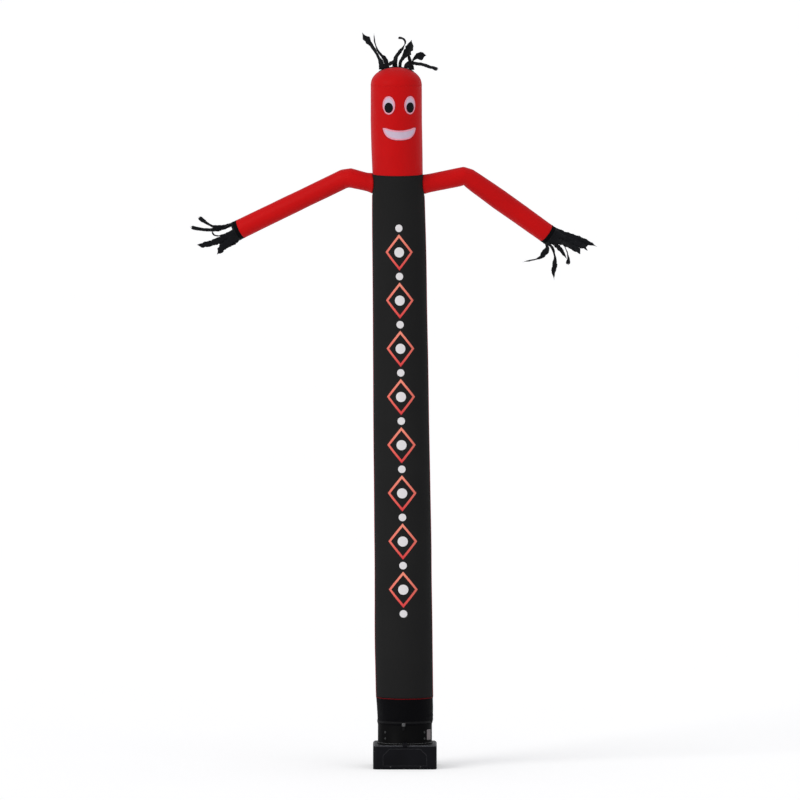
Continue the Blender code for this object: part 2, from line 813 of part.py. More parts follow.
def outlet_ring(where, helpers):
    """The blower's outlet ring with its bolts and a bare plate."""
    inner = RING_RADIUS - RING_WALL
    foot_z = BASE_HEIGHT + GAP
    profile = (
        (RING_RADIUS, RING_TOP),
        (RING_RADIUS, foot_z + FLANGE_HEIGHT + FLANGE_SLOPE),
        (FLANGE_RADIUS, foot_z + FLANGE_HEIGHT),
        (FLANGE_RADIUS, foot_z),
        (inner, foot_z),
        (inner, RING_TOP),
    )
    shape = bmesh.new()
    verts = [shape.verts.new((radius, 0.0, z)) for radius, z in profile]
    for first, second in zip(verts, verts[1:] + verts[:1]):
        shape.edges.new((first, second))
    ring = new_object("outlet_ring", shape, where, PLASTIC)
    turn = ring.modifiers.new("Turn", "SCREW")
    turn.steps = TUBE_STEPS
    turn.render_steps = TUBE_STEPS
    turn.use_merge_vertices = True
    turn.merge_threshold = 0.0001
    number = 0
    for side in (-1.0, 1.0):
        for z in BOLT_LEVELS:
            number += 1
            out = on_ring(side * BOLT_TURN, 0.0, 1.0)
            hole = cylinder(
                f"bolt_hole_{number}",
                BOLT_SHANK_RADIUS + GAP,
                BOLT_HOLE_REACH,
                on_ring(side * BOLT_TURN, z, RING_RADIUS),
                out,
                helpers,
                steps=BOLT_STEPS,
            )
            boolean(ring, as_cutter(hole), "DIFFERENCE")
            ring_bolt(f"ring_bolt_{number}", side * BOLT_TURN, z, out, where, helpers)
    plate = RING_RADIUS + 2 * GAP + PATCH
    shape = sweep(
        [
            Matrix.Translation((0.0, 0.0, z)) @ Matrix.Diagonal((plate, plate, 1.0, 1.0))
            for z in (PLATE_BOTTOM, PLATE_TOP)
        ],
        PLATE_FROM - 90.0,
        PLATE_TO - PLATE_FROM,
        4,
    )
    face_outwards(shape, lambda point: Vector((0.0, 0.0, point.z)))
    thicken(new_object("ring_plate", shape, where, METAL), PATCH)


def ring_bolt(name, turn, z, out, where, helpers):
    """A bolt whose shank sits in the ring's wall."""
    seat = RING_RADIUS
    bolt = cylinder(
        name,
        BOLT_HEAD_RADIUS,
        BOLT_HEAD_HEIGHT,
        on_ring(turn, z, seat + BOLT_HEAD_HEIGHT / 2),
        out,
        where,
        METAL,
        steps=16,
    )
    length = RING_WALL + BOLT_HEAD_HEIGHT
    shank = cylinder(
        f"{name}_shank",
        BOLT_SHANK_RADIUS,
        length,
        on_ring(turn, z, seat + BOLT_HEAD_HEIGHT / 2 - length / 2),
        out,
        helpers,
        steps=BOLT_STEPS,
    )
    return boolean(bolt, as_cutter(shank), "UNION")


def blower_base(where, helpers):
    """The blower's housing, with a sloping shoulder and a sunk intake panel in front."""
    shape = bmesh.new()
    bmesh.ops.create_cube(shape, size=1.0)
    size = Matrix.Diagonal((BASE_WIDTH, BASE_DEPTH, BASE_HEIGHT, 1.0))
    bmesh.ops.transform(
        shape, matrix=Matrix.Translation((0.0, 0.0, BASE_HEIGHT / 2)) @ size, verts=shape.verts[:]
    )

    def edges_where(test):
        return [edge for edge in shape.edges if test(*[vert.co.z for vert in edge.verts])]

    for edges, offset, segments in (
        (lambda: edges_where(lambda a, b: abs(a - b) > BASE_HEIGHT / 2), BASE_CORNER, 3),
        (lambda: edges_where(lambda a, b: min(a, b) > BASE_HEIGHT * 0.99), BASE_SHOULDER, 3),
        (lambda: edges_where(lambda a, b: max(a, b) < BASE_HEIGHT * 0.01), BASE_UNDERCUT, 1),
    ):
        bmesh.ops.bevel(
            shape,
            geom=edges(),
            offset=offset,
            segments=segments,
            profile=0.5,
            affect="EDGES",
            material=-1,
        )
    base = new_object("blower_base", shape, where, PLASTIC)
    intake = bmesh.new()
    bmesh.ops.create_cube(intake, size=1.0)
    middle = (0.0, -BASE_DEPTH / 2, (INTAKE_BOTTOM + INTAKE_TOP) / 2)
    size = Matrix.Diagonal((INTAKE_WIDTH, 2 * INTAKE_DEPTH, INTAKE_TOP - INTAKE_BOTTOM, 1.0))
    bmesh.ops.transform(intake, matrix=Matrix.Translation(middle) @ size, verts=intake.verts[:])
    bmesh.ops.bevel(
        intake,
        geom=[
            edge
            for edge in intake.edges
            if all(vert.co.z > INTAKE_TOP - GAP for vert in edge.verts)
            and abs(edge.verts[0].co.y - edge.verts[1].co.y) > INTAKE_DEPTH
        ],
        offset=INTAKE_CHAMFER,
        segments=1,
        profile=0.5,
        affect="EDGES",
        material=-1,
    )
    boolean(base, as_cutter(new_object("intake_outline", intake, helpers)), "DIFFERENCE")
    base_latch(where, helpers)


def base_latch(where, helpers):
    """The latch that hooks over the housing's front shoulder."""
    front = -BASE_DEPTH / 2 - GAP - LATCH_PROUD
    latch = rounded_box(
        "base_latch",
        (LATCH_WIDTH, LATCH_DEPTH, LATCH_TOP - LATCH_BOTTOM),
        (0.0, front + LATCH_DEPTH / 2, (LATCH_BOTTOM + LATCH_TOP) / 2),
        LATCH_ROUND,
        where,
        PLASTIC,
    )
    hollow = (2 * LATCH_WIDTH, 2 * LATCH_DEPTH, 2 * (BASE_HEIGHT + GAP - LATCH_BOTTOM))
    middle = (0.0, -BASE_DEPTH / 2 - GAP + LATCH_DEPTH, LATCH_BOTTOM)
    shoulder = rounded_box(
        "latch_hollow", hollow, middle, LATCH_ROUND / 2, helpers, None, segments=1
    )
    return boolean(latch, as_cutter(shoulder), "DIFFERENCE")


def smooth_round_pieces(where):
    """Shades the pieces smooth, but for their sharp edges."""
    sharp = math.radians(35.0)
    for made in where.objects:
        made.data.shade_smooth()
        made.data.set_sharp_from_angle(angle=sharp)


def main():
    """Builds the air dancer from the floor up."""
    clear_scene()
    model = collection("air_dancer")
    helpers = collection("cutters")
    blower_base(model, helpers)
    outlet_ring(model, helpers)
    foot(model, helpers)
    body(model, helpers)
    arms(model, helpers)
    head(model)
    face(model, helpers)
    hair(model, helpers)
    smooth_round_pieces(model)


main()
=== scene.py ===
"""Looks of the inflatable air dancer: cloth, seams, ribbons, strap and blower, in metres.

The front is towards -Y and the origin is the middle of the blower's underside. A turn round the
standing tube is in degrees from the front towards +X.
"""

import logging
import math
from dataclasses import dataclass, field, replace
from enum import Enum
from typing import Callable, Sequence

import bmesh
import bpy
import numpy as np
from mathutils import Matrix, Vector, noise


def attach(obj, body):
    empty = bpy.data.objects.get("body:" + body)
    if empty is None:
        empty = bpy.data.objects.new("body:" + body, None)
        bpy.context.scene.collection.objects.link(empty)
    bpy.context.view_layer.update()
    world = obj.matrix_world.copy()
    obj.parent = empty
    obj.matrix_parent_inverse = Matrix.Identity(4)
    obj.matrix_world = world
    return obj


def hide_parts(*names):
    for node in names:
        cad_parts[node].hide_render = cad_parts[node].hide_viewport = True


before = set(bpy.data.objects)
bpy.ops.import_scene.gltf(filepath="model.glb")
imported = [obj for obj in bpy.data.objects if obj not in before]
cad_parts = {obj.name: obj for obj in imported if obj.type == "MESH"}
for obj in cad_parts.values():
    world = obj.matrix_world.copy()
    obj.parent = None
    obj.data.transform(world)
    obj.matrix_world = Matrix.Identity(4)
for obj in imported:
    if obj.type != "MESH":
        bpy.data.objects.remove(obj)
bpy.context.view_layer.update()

logging.basicConfig(level=logging.INFO, format="%(message)s")
LOG = logging.getLogger("air_dancer")

PX = 0.0091
IMAGE_SIZE = 800.0
MIDDLE_COLUMN = 404.9
FLOOR_ROW = 766.8
FRONT = Vector((0.0, -1.0, 0.0))
WORN_ANGLE = math.radians(60.0)
Place = Callable[[float, float], Vector]
Line = Callable[[float], tuple[Vector, Vector, Vector]]


class Slot(Enum):
    """The record's material slots."""

    RED = "red_cloth"
    BLACK = "black_cloth"
    SLEEVE = "sleeve_cloth"
    WHITE = "white_cloth"
    PLASTIC = "black_plastic"
    METAL = "grey_metal"


class Side(Enum):
    """The dancer's sides as the front view shows them."""

    LEFT = -1.0
    RIGHT = 1.0

    @property
    def word(self) -> str:
        """The side's name in lower case."""
        return self.name.lower()


class Graph:
    """A node tree with short calls for adding nodes and links."""

    def __init__(self, tree: bpy.types.NodeTree) -> None:
        """Takes the tree that it adds to.

        Args:
            tree: A material's or a group's node tree.
        """
        self.tree = tree

    def node(self, kind: str, settings: dict | None = None, **inputs: object) -> bpy.types.Node:
        """Adds a node.

        Args:
            kind: The node's type name, without its ShaderNode prefix.
            settings: The node's own properties.
            inputs: Socket values or the sockets to link from, by name, or by number as s0, s1.

        Returns:
            The new node.
        """
        made = self.tree.nodes.new("ShaderNode" + kind)
        for key, value in (settings or {}).items():
            setattr(made, key, value)
        for key, value in inputs.items():
            number = key[1:]
            socket = made.inputs[int(number)] if number.isdigit() else made.inputs[key.replace("_", " ")]
            if isinstance(value, bpy.types.NodeSocket):
                self.tree.links.new(value, socket)
            else:
                socket.default_value = value
        return made

    def math(self, operation: str, *values: object) -> bpy.types.NodeSocket:
        """Adds a Math node and gives its value.

        Args:
            operation: The Math node's operation.
            values: Numbers or sockets, in the node's order.

        Returns:
            The node's output socket.
        """
        inputs = {f"s{number}": value for number, value in enumerate(values)}
        return self.node("Math", {"operation": operation}, **inputs).outputs[0]

    def mix(self, share: object, first: object, second: object, blend: str = "MIX") -> bpy.types.NodeSocket:
        """Mixes two colours.

        Args:
            share: The second colour's share, a number or a socket.
            first: The first colour or its socket.
            second: The second colour or its socket.
            blend: The Mix node's blend type.

        Returns:
            The mixed colour's socket.
        """
        made = self.node("Mix", {"data_type": "RGBA", "blend_type": blend}, s0=share, s6=first, s7=second)
        return made.outputs[2]

    def ramp(self, value: object, low: float, high: float) -> bpy.types.NodeSocket:
        """Spreads a value from low to high over 0 to 1, smoothly and clamped.

        Args:
            value: The socket to read.
            low: The value that becomes 0.
            high: The value that becomes 1.

        Returns:
            The spread value's socket.
        """
        settings = {"interpolation_type": "SMOOTHSTEP", "clamp": True}
        made = self.node("MapRange", settings, s0=value, s1=low, s2=high, s3=0.0, s4=1.0)
        return made.outputs[0]


def new_group(
    name: str, inputs: dict[str, tuple], outputs: dict[str, str]
) -> tuple[bpy.types.NodeTree, Graph, dict, bpy.types.Node]:
    """Makes an empty shader node group.

    Args:
        name: The group's name.
        inputs: Each input's socket type and its usual value or None.
        outputs: Each output's socket type.

    Returns:
        The group's tree, its graph, its inner input sockets by name, and its output node.
    """
    tree = bpy.data.node_groups.new(name, "ShaderNodeTree")
    for label, (kind, usual) in inputs.items():
        socket = tree.interface.new_socket(name=label, in_out="INPUT", socket_type="NodeSocket" + kind)
        if usual is not None:
            socket.default_value = usual
    for label, kind in outputs.items():
        tree.interface.new_socket(name=label, in_out="OUTPUT", socket_type="NodeSocket" + kind)
    enter = tree.nodes.new("NodeGroupInput")
    leave = tree.nodes.new("NodeGroupOutput")
    return tree, Graph(tree), {socket.name: socket for socket in enter.outputs}, leave


@dataclass(frozen=True)
class Weave:
    """The woven cloth effect: fine threads and the heavier threads of its ripstop squares."""

    pitch: float = 0.0011
    square: float = 0.0065

    def group(self) -> bpy.types.NodeTree:
        """Builds the group once.

        Returns:
            A group that reads a cloth map in metres and puts out a height and a shade.
        """
        name = "ripstop_weave"
        if name in bpy.data.node_groups:
            return bpy.data.node_groups[name]
        tree, graph, enter, leave = new_group(
            name,
            {"Vector": ("Vector", None), "Ripstop": ("Float", 1.0)},
            {"Height": "Float", "Shade": "Float"},
        )
        parts = graph.node("SeparateXYZ", s0=enter["Vector"])
        threads, bars = [], []
        for axis in (0, 1):
            turn = graph.math("MULTIPLY", parts.outputs[axis], 2 * math.pi / self.pitch)
            threads.append(graph.math("SINE", turn))
            cell = graph.math("FRACT", graph.math("DIVIDE", parts.outputs[axis], self.square))
            bars.append(graph.math("LESS_THAN", cell, 2 * self.pitch / self.square))
        weave = graph.math("MULTIPLY", threads[0], threads[1])
        bar = graph.math("MULTIPLY", graph.math("MAXIMUM", bars[0], bars[1]), enter["Ripstop"])
        height = graph.math("ADD", graph.math("MULTIPLY", weave, 0.35), bar)
        shade = graph.math("MULTIPLY_ADD", bar, 0.06, 0.97)
        graph.tree.links.new(height, leave.inputs["Height"])
        graph.tree.links.new(shade, leave.inputs["Shade"])
        return tree


@dataclass(frozen=True)
class Mottle:
    """The uneven colour effect: broad clouds and small specks over a surface."""

    def group(self) -> bpy.types.NodeTree:
        """Builds the group once.

        Returns:
            A group that reads a place and puts out broad and fine values from 0 to 1.
        """
        name = "mottle"
        if name in bpy.data.node_groups:
            return bpy.data.node_groups[name]
        tree, graph, enter, leave = new_group(
            name,
            {"Vector": ("Vector", None), "Broad scale": ("Float", 2.0), "Fine scale": ("Float", 60.0)},
            {"Broad": "Float", "Fine": "Float"},
        )
        for label, detail in (("Broad", 2.0), ("Fine", 4.0)):
            scale = enter[label + " scale"]
            cloud = graph.node("TexNoise", Vector=enter["Vector"], Scale=scale, Detail=detail)
            graph.tree.links.new(graph.ramp(cloud.outputs[0], 0.3, 0.7), leave.inputs[label])
        return tree

    def place(self, graph: Graph, where: bpy.types.NodeSocket, broad: float, fine: float) -> bpy.types.Node:
        """Places the group in a material.

        Args:
            graph: The material's graph.
            where: The socket that gives the place.
            broad: The scale of the clouds.
            fine: The scale of the specks.

        Returns:
            The group's node.
        """
        scales = {"Broad_scale": broad, "Fine_scale": fine}
        return graph.node("Group", {"node_tree": self.group()}, Vector=where, **scales)


@dataclass(frozen=True)
class Print:
    """The body front's generic print: outlined diamonds and dots in one upright row."""

    bottom: float = 1.42
    top: float = 4.94
    pitch: float = 0.44
    half_width: float = 0.135
    half_height: float = 0.165
    line: float = 0.19
    dot: float = 0.034

    def group(self) -> bpy.types.NodeTree:
        """Builds the group once.

        Returns:
            A group that reads the front's map in metres and puts out the two inks and their fade.
        """
        name = "diamond_print"
        if name in bpy.data.node_groups:
            return bpy.data.node_groups[name]
        tree, graph, enter, leave = new_group(
            name, {"Vector": ("Vector", None)}, {"Diamond": "Float", "Dot": "Float", "Fade": "Float"}
        )
        parts = graph.node("SeparateXYZ", s0=enter["Vector"])
        rows = graph.math("DIVIDE", graph.math("SUBTRACT", parts.outputs[1], self.bottom), self.pitch)
        cell = graph.math("SUBTRACT", graph.math("FRACT", rows), 0.5)
        tall = graph.math("MULTIPLY", graph.math("ABSOLUTE", cell), self.pitch)
        wide = graph.math("ABSOLUTE", parts.outputs[0])
        reach = graph.math(
            "ADD",
            graph.math("DIVIDE", wide, self.half_width),
            graph.math("DIVIDE", tall, self.half_height),
        )
        edge = graph.math("ABSOLUTE", graph.math("SUBTRACT", reach, 1.0 - self.line / 2))
        ring = graph.math("LESS_THAN", edge, self.line / 2)
        from_joint = graph.math("SUBTRACT", self.pitch / 2, tall)
        across = graph.math("POWER", parts.outputs[0], 2.0)
        far = graph.math("SQRT", graph.math("ADD", across, graph.math("POWER", from_joint, 2.0)))
        middle = graph.math("SQRT", graph.math("ADD", across, graph.math("POWER", tall, 2.0)))
        spot = graph.math(
            "MAXIMUM",
            graph.math("LESS_THAN", far, self.dot),
            graph.math("LESS_THAN", middle, self.dot * 1.35),
        )
        fade = graph.math("ADD", cell, 0.5)
        for label, ink, past in (("Diamond", ring, 0.0), ("Dot", spot, self.dot)):
            above = graph.math("GREATER_THAN", parts.outputs[1], self.bottom - past)
            below = graph.math("LESS_THAN", parts.outputs[1], self.top + past)
            inside = graph.math("MULTIPLY", above, below)
            graph.tree.links.new(graph.math("MULTIPLY", ink, inside), leave.inputs[label])
        graph.tree.links.new(fade, leave.inputs["Fade"])
        return tree


@dataclass(frozen=True)
class Cloth:
    """A woven nylon finish."""

    name: str
    slot: Slot
    colour: tuple[float, float, float]
    deep: tuple[float, float, float]
    roughness: float = 0.55
    specular: float = 0.3
    sheen: float = 0.0
    sheen_tint: tuple[float, float, float] = (1.0, 1.0, 1.0)
    weave: float = 0.4
    printed: bool = False

    def material(self) -> bpy.types.Material:
        """Makes the finish's material once.

        Returns:
            The material.
        """
        if self.name in bpy.data.materials:
            return bpy.data.materials[self.name]
        made = bpy.data.materials.new(self.name)
        made.use_nodes = True
        graph = Graph(made.node_tree)
        shader = made.node_tree.nodes["Principled BSDF"]
        where = graph.node("TexCoord")
        weave = graph.node("Group", {"node_tree": Weave().group()}, Vector=where.outputs["UV"])
        mottle = Mottle().place(graph, where.outputs["Object"], 1.7, 38.0)
        broad = graph.math("MULTIPLY", mottle.outputs["Broad"], 0.75)
        clouds = graph.math("MULTIPLY_ADD", mottle.outputs["Fine"], 0.25, broad)
        colour = graph.mix(clouds, (*self.deep, 1.0), (*self.colour, 1.0))
        if self.printed:
            ink = graph.node("Group", {"node_tree": Print().group()}, Vector=where.outputs["UV"])
            red = graph.mix(ink.outputs["Fade"], (0.66, 0.010, 0.030, 1.0), (0.92, 0.32, 0.22, 1.0))
            colour = graph.mix(ink.outputs["Diamond"], colour, red)
            colour = graph.mix(ink.outputs["Dot"], colour, (0.72, 0.70, 0.71, 1.0))
        shade = weave.outputs["Shade"]
        grey = graph.node("CombineColor", s0=shade, s1=shade, s2=shade).outputs[0]
        colour = graph.mix(1.0, colour, grey, "MULTIPLY")
        rough = graph.math("MULTIPLY_ADD", mottle.outputs["Fine"], 0.10, self.roughness - 0.05)
        bump = graph.node("Bump", Strength=self.weave, Distance=0.0004, Height=weave.outputs["Height"])
        graph.tree.links.new(colour, shader.inputs["Base Color"])
        graph.tree.links.new(rough, shader.inputs["Roughness"])
        graph.tree.links.new(bump.outputs[0], shader.inputs["Normal"])
        shader.inputs["Specular IOR Level"].default_value = self.specular
        shader.inputs["Sheen Weight"].default_value = self.sheen
        shader.inputs["Sheen Roughness"].default_value = 0.4
        shader.inputs["Sheen Tint"].default_value = (*self.sheen_tint, 1.0)
        return made


@dataclass(frozen=True)
class Thread:
    """A finish of close satin stitches or twisted cord, which run across the piece's length."""

    name: str
    slot: Slot
    colour: tuple[float, float, float]
    deep: tuple[float, float, float]
    pitch: float = 0.0016
    specular: float = 0.3

    def material(self) -> bpy.types.Material:
        """Makes the finish's material once.

        Returns:
            The material.
        """
        if self.name in bpy.data.materials:
            return bpy.data.materials[self.name]
        made = bpy.data.materials.new(self.name)
        made.use_nodes = True
        graph = Graph(made.node_tree)
        shader = made.node_tree.nodes["Principled BSDF"]
        where = graph.node("TexCoord")
        parts = graph.node("SeparateXYZ", s0=where.outputs["UV"])
        slant = graph.math("MULTIPLY_ADD", parts.outputs[0], 0.5, parts.outputs[1])
        strand = graph.math("SINE", graph.math("MULTIPLY", slant, 2 * math.pi / self.pitch))
        mottle = Mottle().place(graph, where.outputs["Object"], 6.0, 120.0)
        share = graph.math("MULTIPLY_ADD", strand, 0.2, graph.math("MULTIPLY", mottle.outputs["Fine"], 0.8))
        colour = graph.mix(share, (*self.deep, 1.0), (*self.colour, 1.0))
        bump = graph.node("Bump", Strength=0.5, Distance=0.0004, Height=strand)
        graph.tree.links.new(colour, shader.inputs["Base Color"])
        rough = graph.math("MULTIPLY_ADD", mottle.outputs["Broad"], 0.1, 0.5)
        graph.tree.links.new(rough, shader.inputs["Roughness"])
        graph.tree.links.new(bump.outputs[0], shader.inputs["Normal"])
        shader.inputs["Specular IOR Level"].default_value = self.specular
        return made


@dataclass(frozen=True)
class Hard:
    """A moulded plastic or metal finish with grain, scuffs, rubbed edges on the metal pieces, and painted
    highlight lines on the housing and the outlet ring.
    """

    name: str
    slot: Slot
    colour: tuple[float, float, float]
    worn: tuple[float, float, float]
    roughness: float
    metallic: float = 0.0
    specular: float = 0.5
    grain: float = 420.0
    scuffs: float = 0.5

    def material(self) -> bpy.types.Material:
        """Makes the finish's material once.

        Returns:
            The material.
        """
        if self.name in bpy.data.materials:
            return bpy.data.materials[self.name]
        made = bpy.data.materials.new(self.name)
        made.use_nodes = True
        graph = Graph(made.node_tree)
        shader = made.node_tree.nodes["Principled BSDF"]
        where = graph.node("TexCoord")
        place = where.outputs["Object"]
        mottle = Mottle().place(graph, place, 5.0, self.grain)
        stretched = graph.node("Mapping", {"vector_type": "POINT"}, Vector=place, Scale=(9.0, 9.0, 60.0))
        streak = graph.node("TexNoise", Vector=stretched.outputs[0], Scale=1.0, Detail=5.0, Roughness=0.7)
        scuff = graph.math("MULTIPLY", graph.ramp(streak.outputs[0], 0.62, 0.78), self.scuffs)
        # The attribute holds the rubbed edges of metal pieces and the painted highlight lines of the housing
        # and ring.
        wear = graph.node("Attribute", {"attribute_name": "wear"}).outputs["Fac"]
        edge = graph.math("MULTIPLY", wear, graph.ramp(mottle.outputs["Fine"], 0.15, 0.8))
        share = graph.math("MINIMUM", graph.math("ADD", graph.math("MULTIPLY", scuff, 0.35), edge), 1.0)
        dim = tuple(part * 0.75 for part in self.colour)
        clouds = graph.mix(mottle.outputs["Broad"], (*dim, 1.0), (*self.colour, 1.0))
        # Scuffs and the attribute's marks take the lighter colour: rubbed metal, and painted highlight on the
        # plastic.
        colour = graph.mix(share, clouds, (*self.worn, 1.0))
        cloudy = graph.math("MULTIPLY_ADD", mottle.outputs["Broad"], 0.12, self.roughness - 0.06)
        rough = graph.math("MULTIPLY_ADD", share, 0.12, cloudy)
        bump = graph.node("Bump", Strength=0.25, Distance=0.0003, Height=mottle.outputs["Fine"])
        graph.tree.links.new(colour, shader.inputs["Base Color"])
        graph.tree.links.new(rough, shader.inputs["Roughness"])
        graph.tree.links.new(bump.outputs[0], shader.inputs["Normal"])
        shader.inputs["Metallic"].default_value = self.metallic
        shader.inputs["Specular IOR Level"].default_value = self.specular
        return made


RED_NYLON = Cloth(
    "red_nylon",
    Slot.RED,
    (0.555, 0.0035, 0.0042),
    (0.490, 0.0030, 0.0036),
    roughness=0.50,
    specular=0.06,
    sheen=0.13,
    sheen_tint=(1.0, 0.70, 0.85),
)
CHARCOAL = (0.0150, 0.0150, 0.0150)
DEEP_CHARCOAL = (0.0128, 0.0128, 0.0128)
CHARCOAL_PRINT = Cloth("charcoal_print", Slot.BLACK, CHARCOAL, DEEP_CHARCOAL, 0.75, 0.05, printed=True)
CHARCOAL_NYLON = Cloth("charcoal_nylon", Slot.BLACK, CHARCOAL, DEEP_CHARCOAL, 0.75, 0.05)
SLEEVE_NYLON = Cloth(
    "sleeve_nylon", Slot.SLEEVE, (0.0042, 0.0042, 0.0050), (0.0020, 0.0020, 0.0026), 0.60, 0.03
)
WEBBING = Cloth(
    "webbing", Slot.SLEEVE, (0.0080, 0.0080, 0.0086), (0.0040, 0.0040, 0.0046), 0.50, 0.08, weave=0.8
)
RIBBON_NYLON = Cloth(
    "ribbon_nylon", Slot.SLEEVE, (0.0048, 0.0054, 0.0074), (0.0018, 0.0019, 0.0027), 0.42, 0.10
)
PATCH_WHITE = Cloth("patch_white", Slot.WHITE, (0.68, 0.53, 0.66), (0.52, 0.42, 0.53), 0.60, 0.12)
RED_PIPING = Thread("red_piping", Slot.RED, (0.16, 0.002, 0.005), (0.085, 0.0015, 0.004), 0.0030, 0.05)
SIDE_PIPING = Thread("side_piping", Slot.RED, (0.56, 0.020, 0.040), (0.40, 0.012, 0.024), 0.0030, 0.06)
RED_STITCH = Thread("red_stitch", Slot.RED, (0.53, 0.005, 0.006), (0.45, 0.004, 0.005), specular=0.08)
DARK_STITCH = Thread("dark_red_stitch", Slot.RED, (0.30, 0.006, 0.012), (0.18, 0.004, 0.008), specular=0.06)
PINK_STITCH = Thread("pink_stitch", Slot.WHITE, (0.90, 0.40, 0.50), (0.76, 0.28, 0.36), specular=0.10)
BLACK_STITCH = Thread(
    "black_stitch", Slot.SLEEVE, (0.010, 0.010, 0.012), (0.004, 0.004, 0.005), specular=0.05
)
# The second colour is the scuffs' colour and the painted highlight on the shoulder and the sunk panel's edge.
HOUSING = Hard(
    "housing_plastic",
    Slot.PLASTIC,
    (0.0058, 0.0058, 0.0076),
    (0.22, 0.22, 0.24),
    0.42,
    specular=0.06,
    scuffs=0.02,
)
# The second colour is the scuffs' colour and the painted highlight on the flange's upper edge.
RING_PLASTIC = Hard(
    "ring_plastic",
    Slot.PLASTIC,
    (0.0034, 0.0034, 0.0036),
    (0.30, 0.30, 0.31),
    0.50,
    specular=0.03,
    scuffs=0.01,
)
DULL_STEEL = Hard("dull_steel", Slot.METAL, (0.090, 0.090, 0.094), (0.28, 0.28, 0.28), 0.45, 0.8, scuffs=0.6)
DARK_STEEL = Hard("dark_steel", Slot.METAL, (0.030, 0.030, 0.032), (0.11, 0.11, 0.11), 0.50, 0.6, scuffs=0.4)
PLATE_FOIL = Hard("plate_foil", Slot.METAL, (0.24, 0.21, 0.215), (0.46, 0.42, 0.42), 0.55, 0.3, scuffs=0.7)
Finish = Cloth | Thread | Hard


def finish_piece(
    name: str, shape: bmesh.types.BMesh, finish: Finish, smooth: float = 40.0
) -> bpy.types.Object:
    """Makes a piece's object from its bmesh, with its material and body.

    Args:
        name: The piece's name.
        shape: The finished bmesh, which is freed.
        finish: The piece's finish.
        smooth: The largest angle in degrees that is shaded smooth.

    Returns:
        The object, which rides on the one body.
    """
    mesh = bpy.data.meshes.new(name)
    shape.to_mesh(mesh)
    shape.free()
    mesh.shade_smooth()
    mesh.set_sharp_from_angle(angle=math.radians(smooth))
    mesh.materials.append(finish.material())
    made = bpy.data.objects.new(name, mesh)
    bpy.context.scene.collection.objects.link(made)
    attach(made, "root")
    LOG.info("%s: %d faces", name, len(mesh.polygons))
    return made


def thicken(piece: bpy.types.Object, thickness: float) -> bpy.types.Object:
    """Gives an open sheet its thickness, inwards.

    Args:
        piece: The sheet's object.
        thickness: The cloth's thickness.

    Returns:
        The same object.
    """
    step = piece.modifiers.new("Thickness", "SOLIDIFY")
    step.thickness = thickness
    step.offset = -1.0
    return piece


def mapped_grid(
    across: int,
    along: int,
    place: Place,
    width: float,
    length: float,
    start: tuple[float, float] = (0.0, 0.0),
) -> bmesh.types.BMesh:
    """A grid whose points are carried to their places, with its cloth map in metres.

    Args:
        across: The number of cells across.
        along: The number of cells along.
        place: Gives the point for the shares across and along.
        width: The cloth's flat width.
        length: The cloth's flat length.
        start: The map's value at the first corner.

    Returns:
        The bmesh, with edges that meet joined.
    """
    shape = bmesh.new()
    bmesh.ops.create_grid(shape, x_segments=across, y_segments=along, size=0.5)
    layer = shape.loops.layers.uv.new("cloth")
    for face in shape.faces:
        for loop in face.loops:
            share = loop.vert.co
            loop[layer].uv = (start[0] + (share.x + 0.5) * width, start[1] + (share.y + 0.5) * length)
    for vert in shape.verts:
        vert.co = place(vert.co.x + 0.5, vert.co.y + 0.5)
    bmesh.ops.remove_doubles(shape, verts=shape.verts[:], dist=1e-5)
    bmesh.ops.dissolve_degenerate(shape, edges=shape.edges[:], dist=1e-6)
    return shape


def face_outwards(shape: bmesh.types.BMesh, middle: Callable[[Vector], Vector]) -> bmesh.types.BMesh:
    """Turns a sheet over if most of its faces look at its middle line.

    Args:
        shape: The sheet, whose faces all look to one side.
        middle: Gives the nearest inner point for a place.

    Returns:
        The same bmesh.
    """
    shape.normal_update()
    facing = 0.0
    for face in shape.faces:
        centre = face.calc_center_median()
        facing += math.copysign(face.calc_area(), face.normal.dot(centre - middle(centre)))
    if facing < 0.0:
        bmesh.ops.reverse_faces(shape, faces=shape.faces[:])
    return shape


def cord_round(
    name: str,
    line: Line,
    length: float,
    size: tuple[float, float],
    steps: int,
    finish: Finish,
    sides: int = 8,
    closed: bool = False,
) -> bpy.types.Object:
    """A round or flattened cord that follows a line on a surface.

    Args:
        name: The piece's name.
        line: Gives the point, the outward direction and the sideways direction at a share.
        length: The line's length, for the cloth map.
        size: The half width and the half height of the cord.
        steps: The number of sections.
        finish: The piece's finish.
        sides: The number of sides of a section.
        closed: Whether the line ends where it starts.

    Returns:
        The piece's object.
    """

    def place(around: float, along: float) -> Vector:
        """The cord's surface at the shares around and along."""
        point, out, aside = line(along % 1.0 if closed else along)
        turn = 2 * math.pi * around
        return point + aside * (size[0] * math.cos(turn)) + out * (size[1] * math.sin(turn))

    shape = mapped_grid(sides, steps, place, math.pi * (size[0] + size[1]), length)
    if not closed:
        bmesh.ops.holes_fill(shape, edges=[edge for edge in shape.edges if edge.is_boundary], sides=sides)
    bmesh.ops.recalc_face_normals(shape, faces=shape.faces[:])
    return finish_piece(name, shape, finish, 60.0)


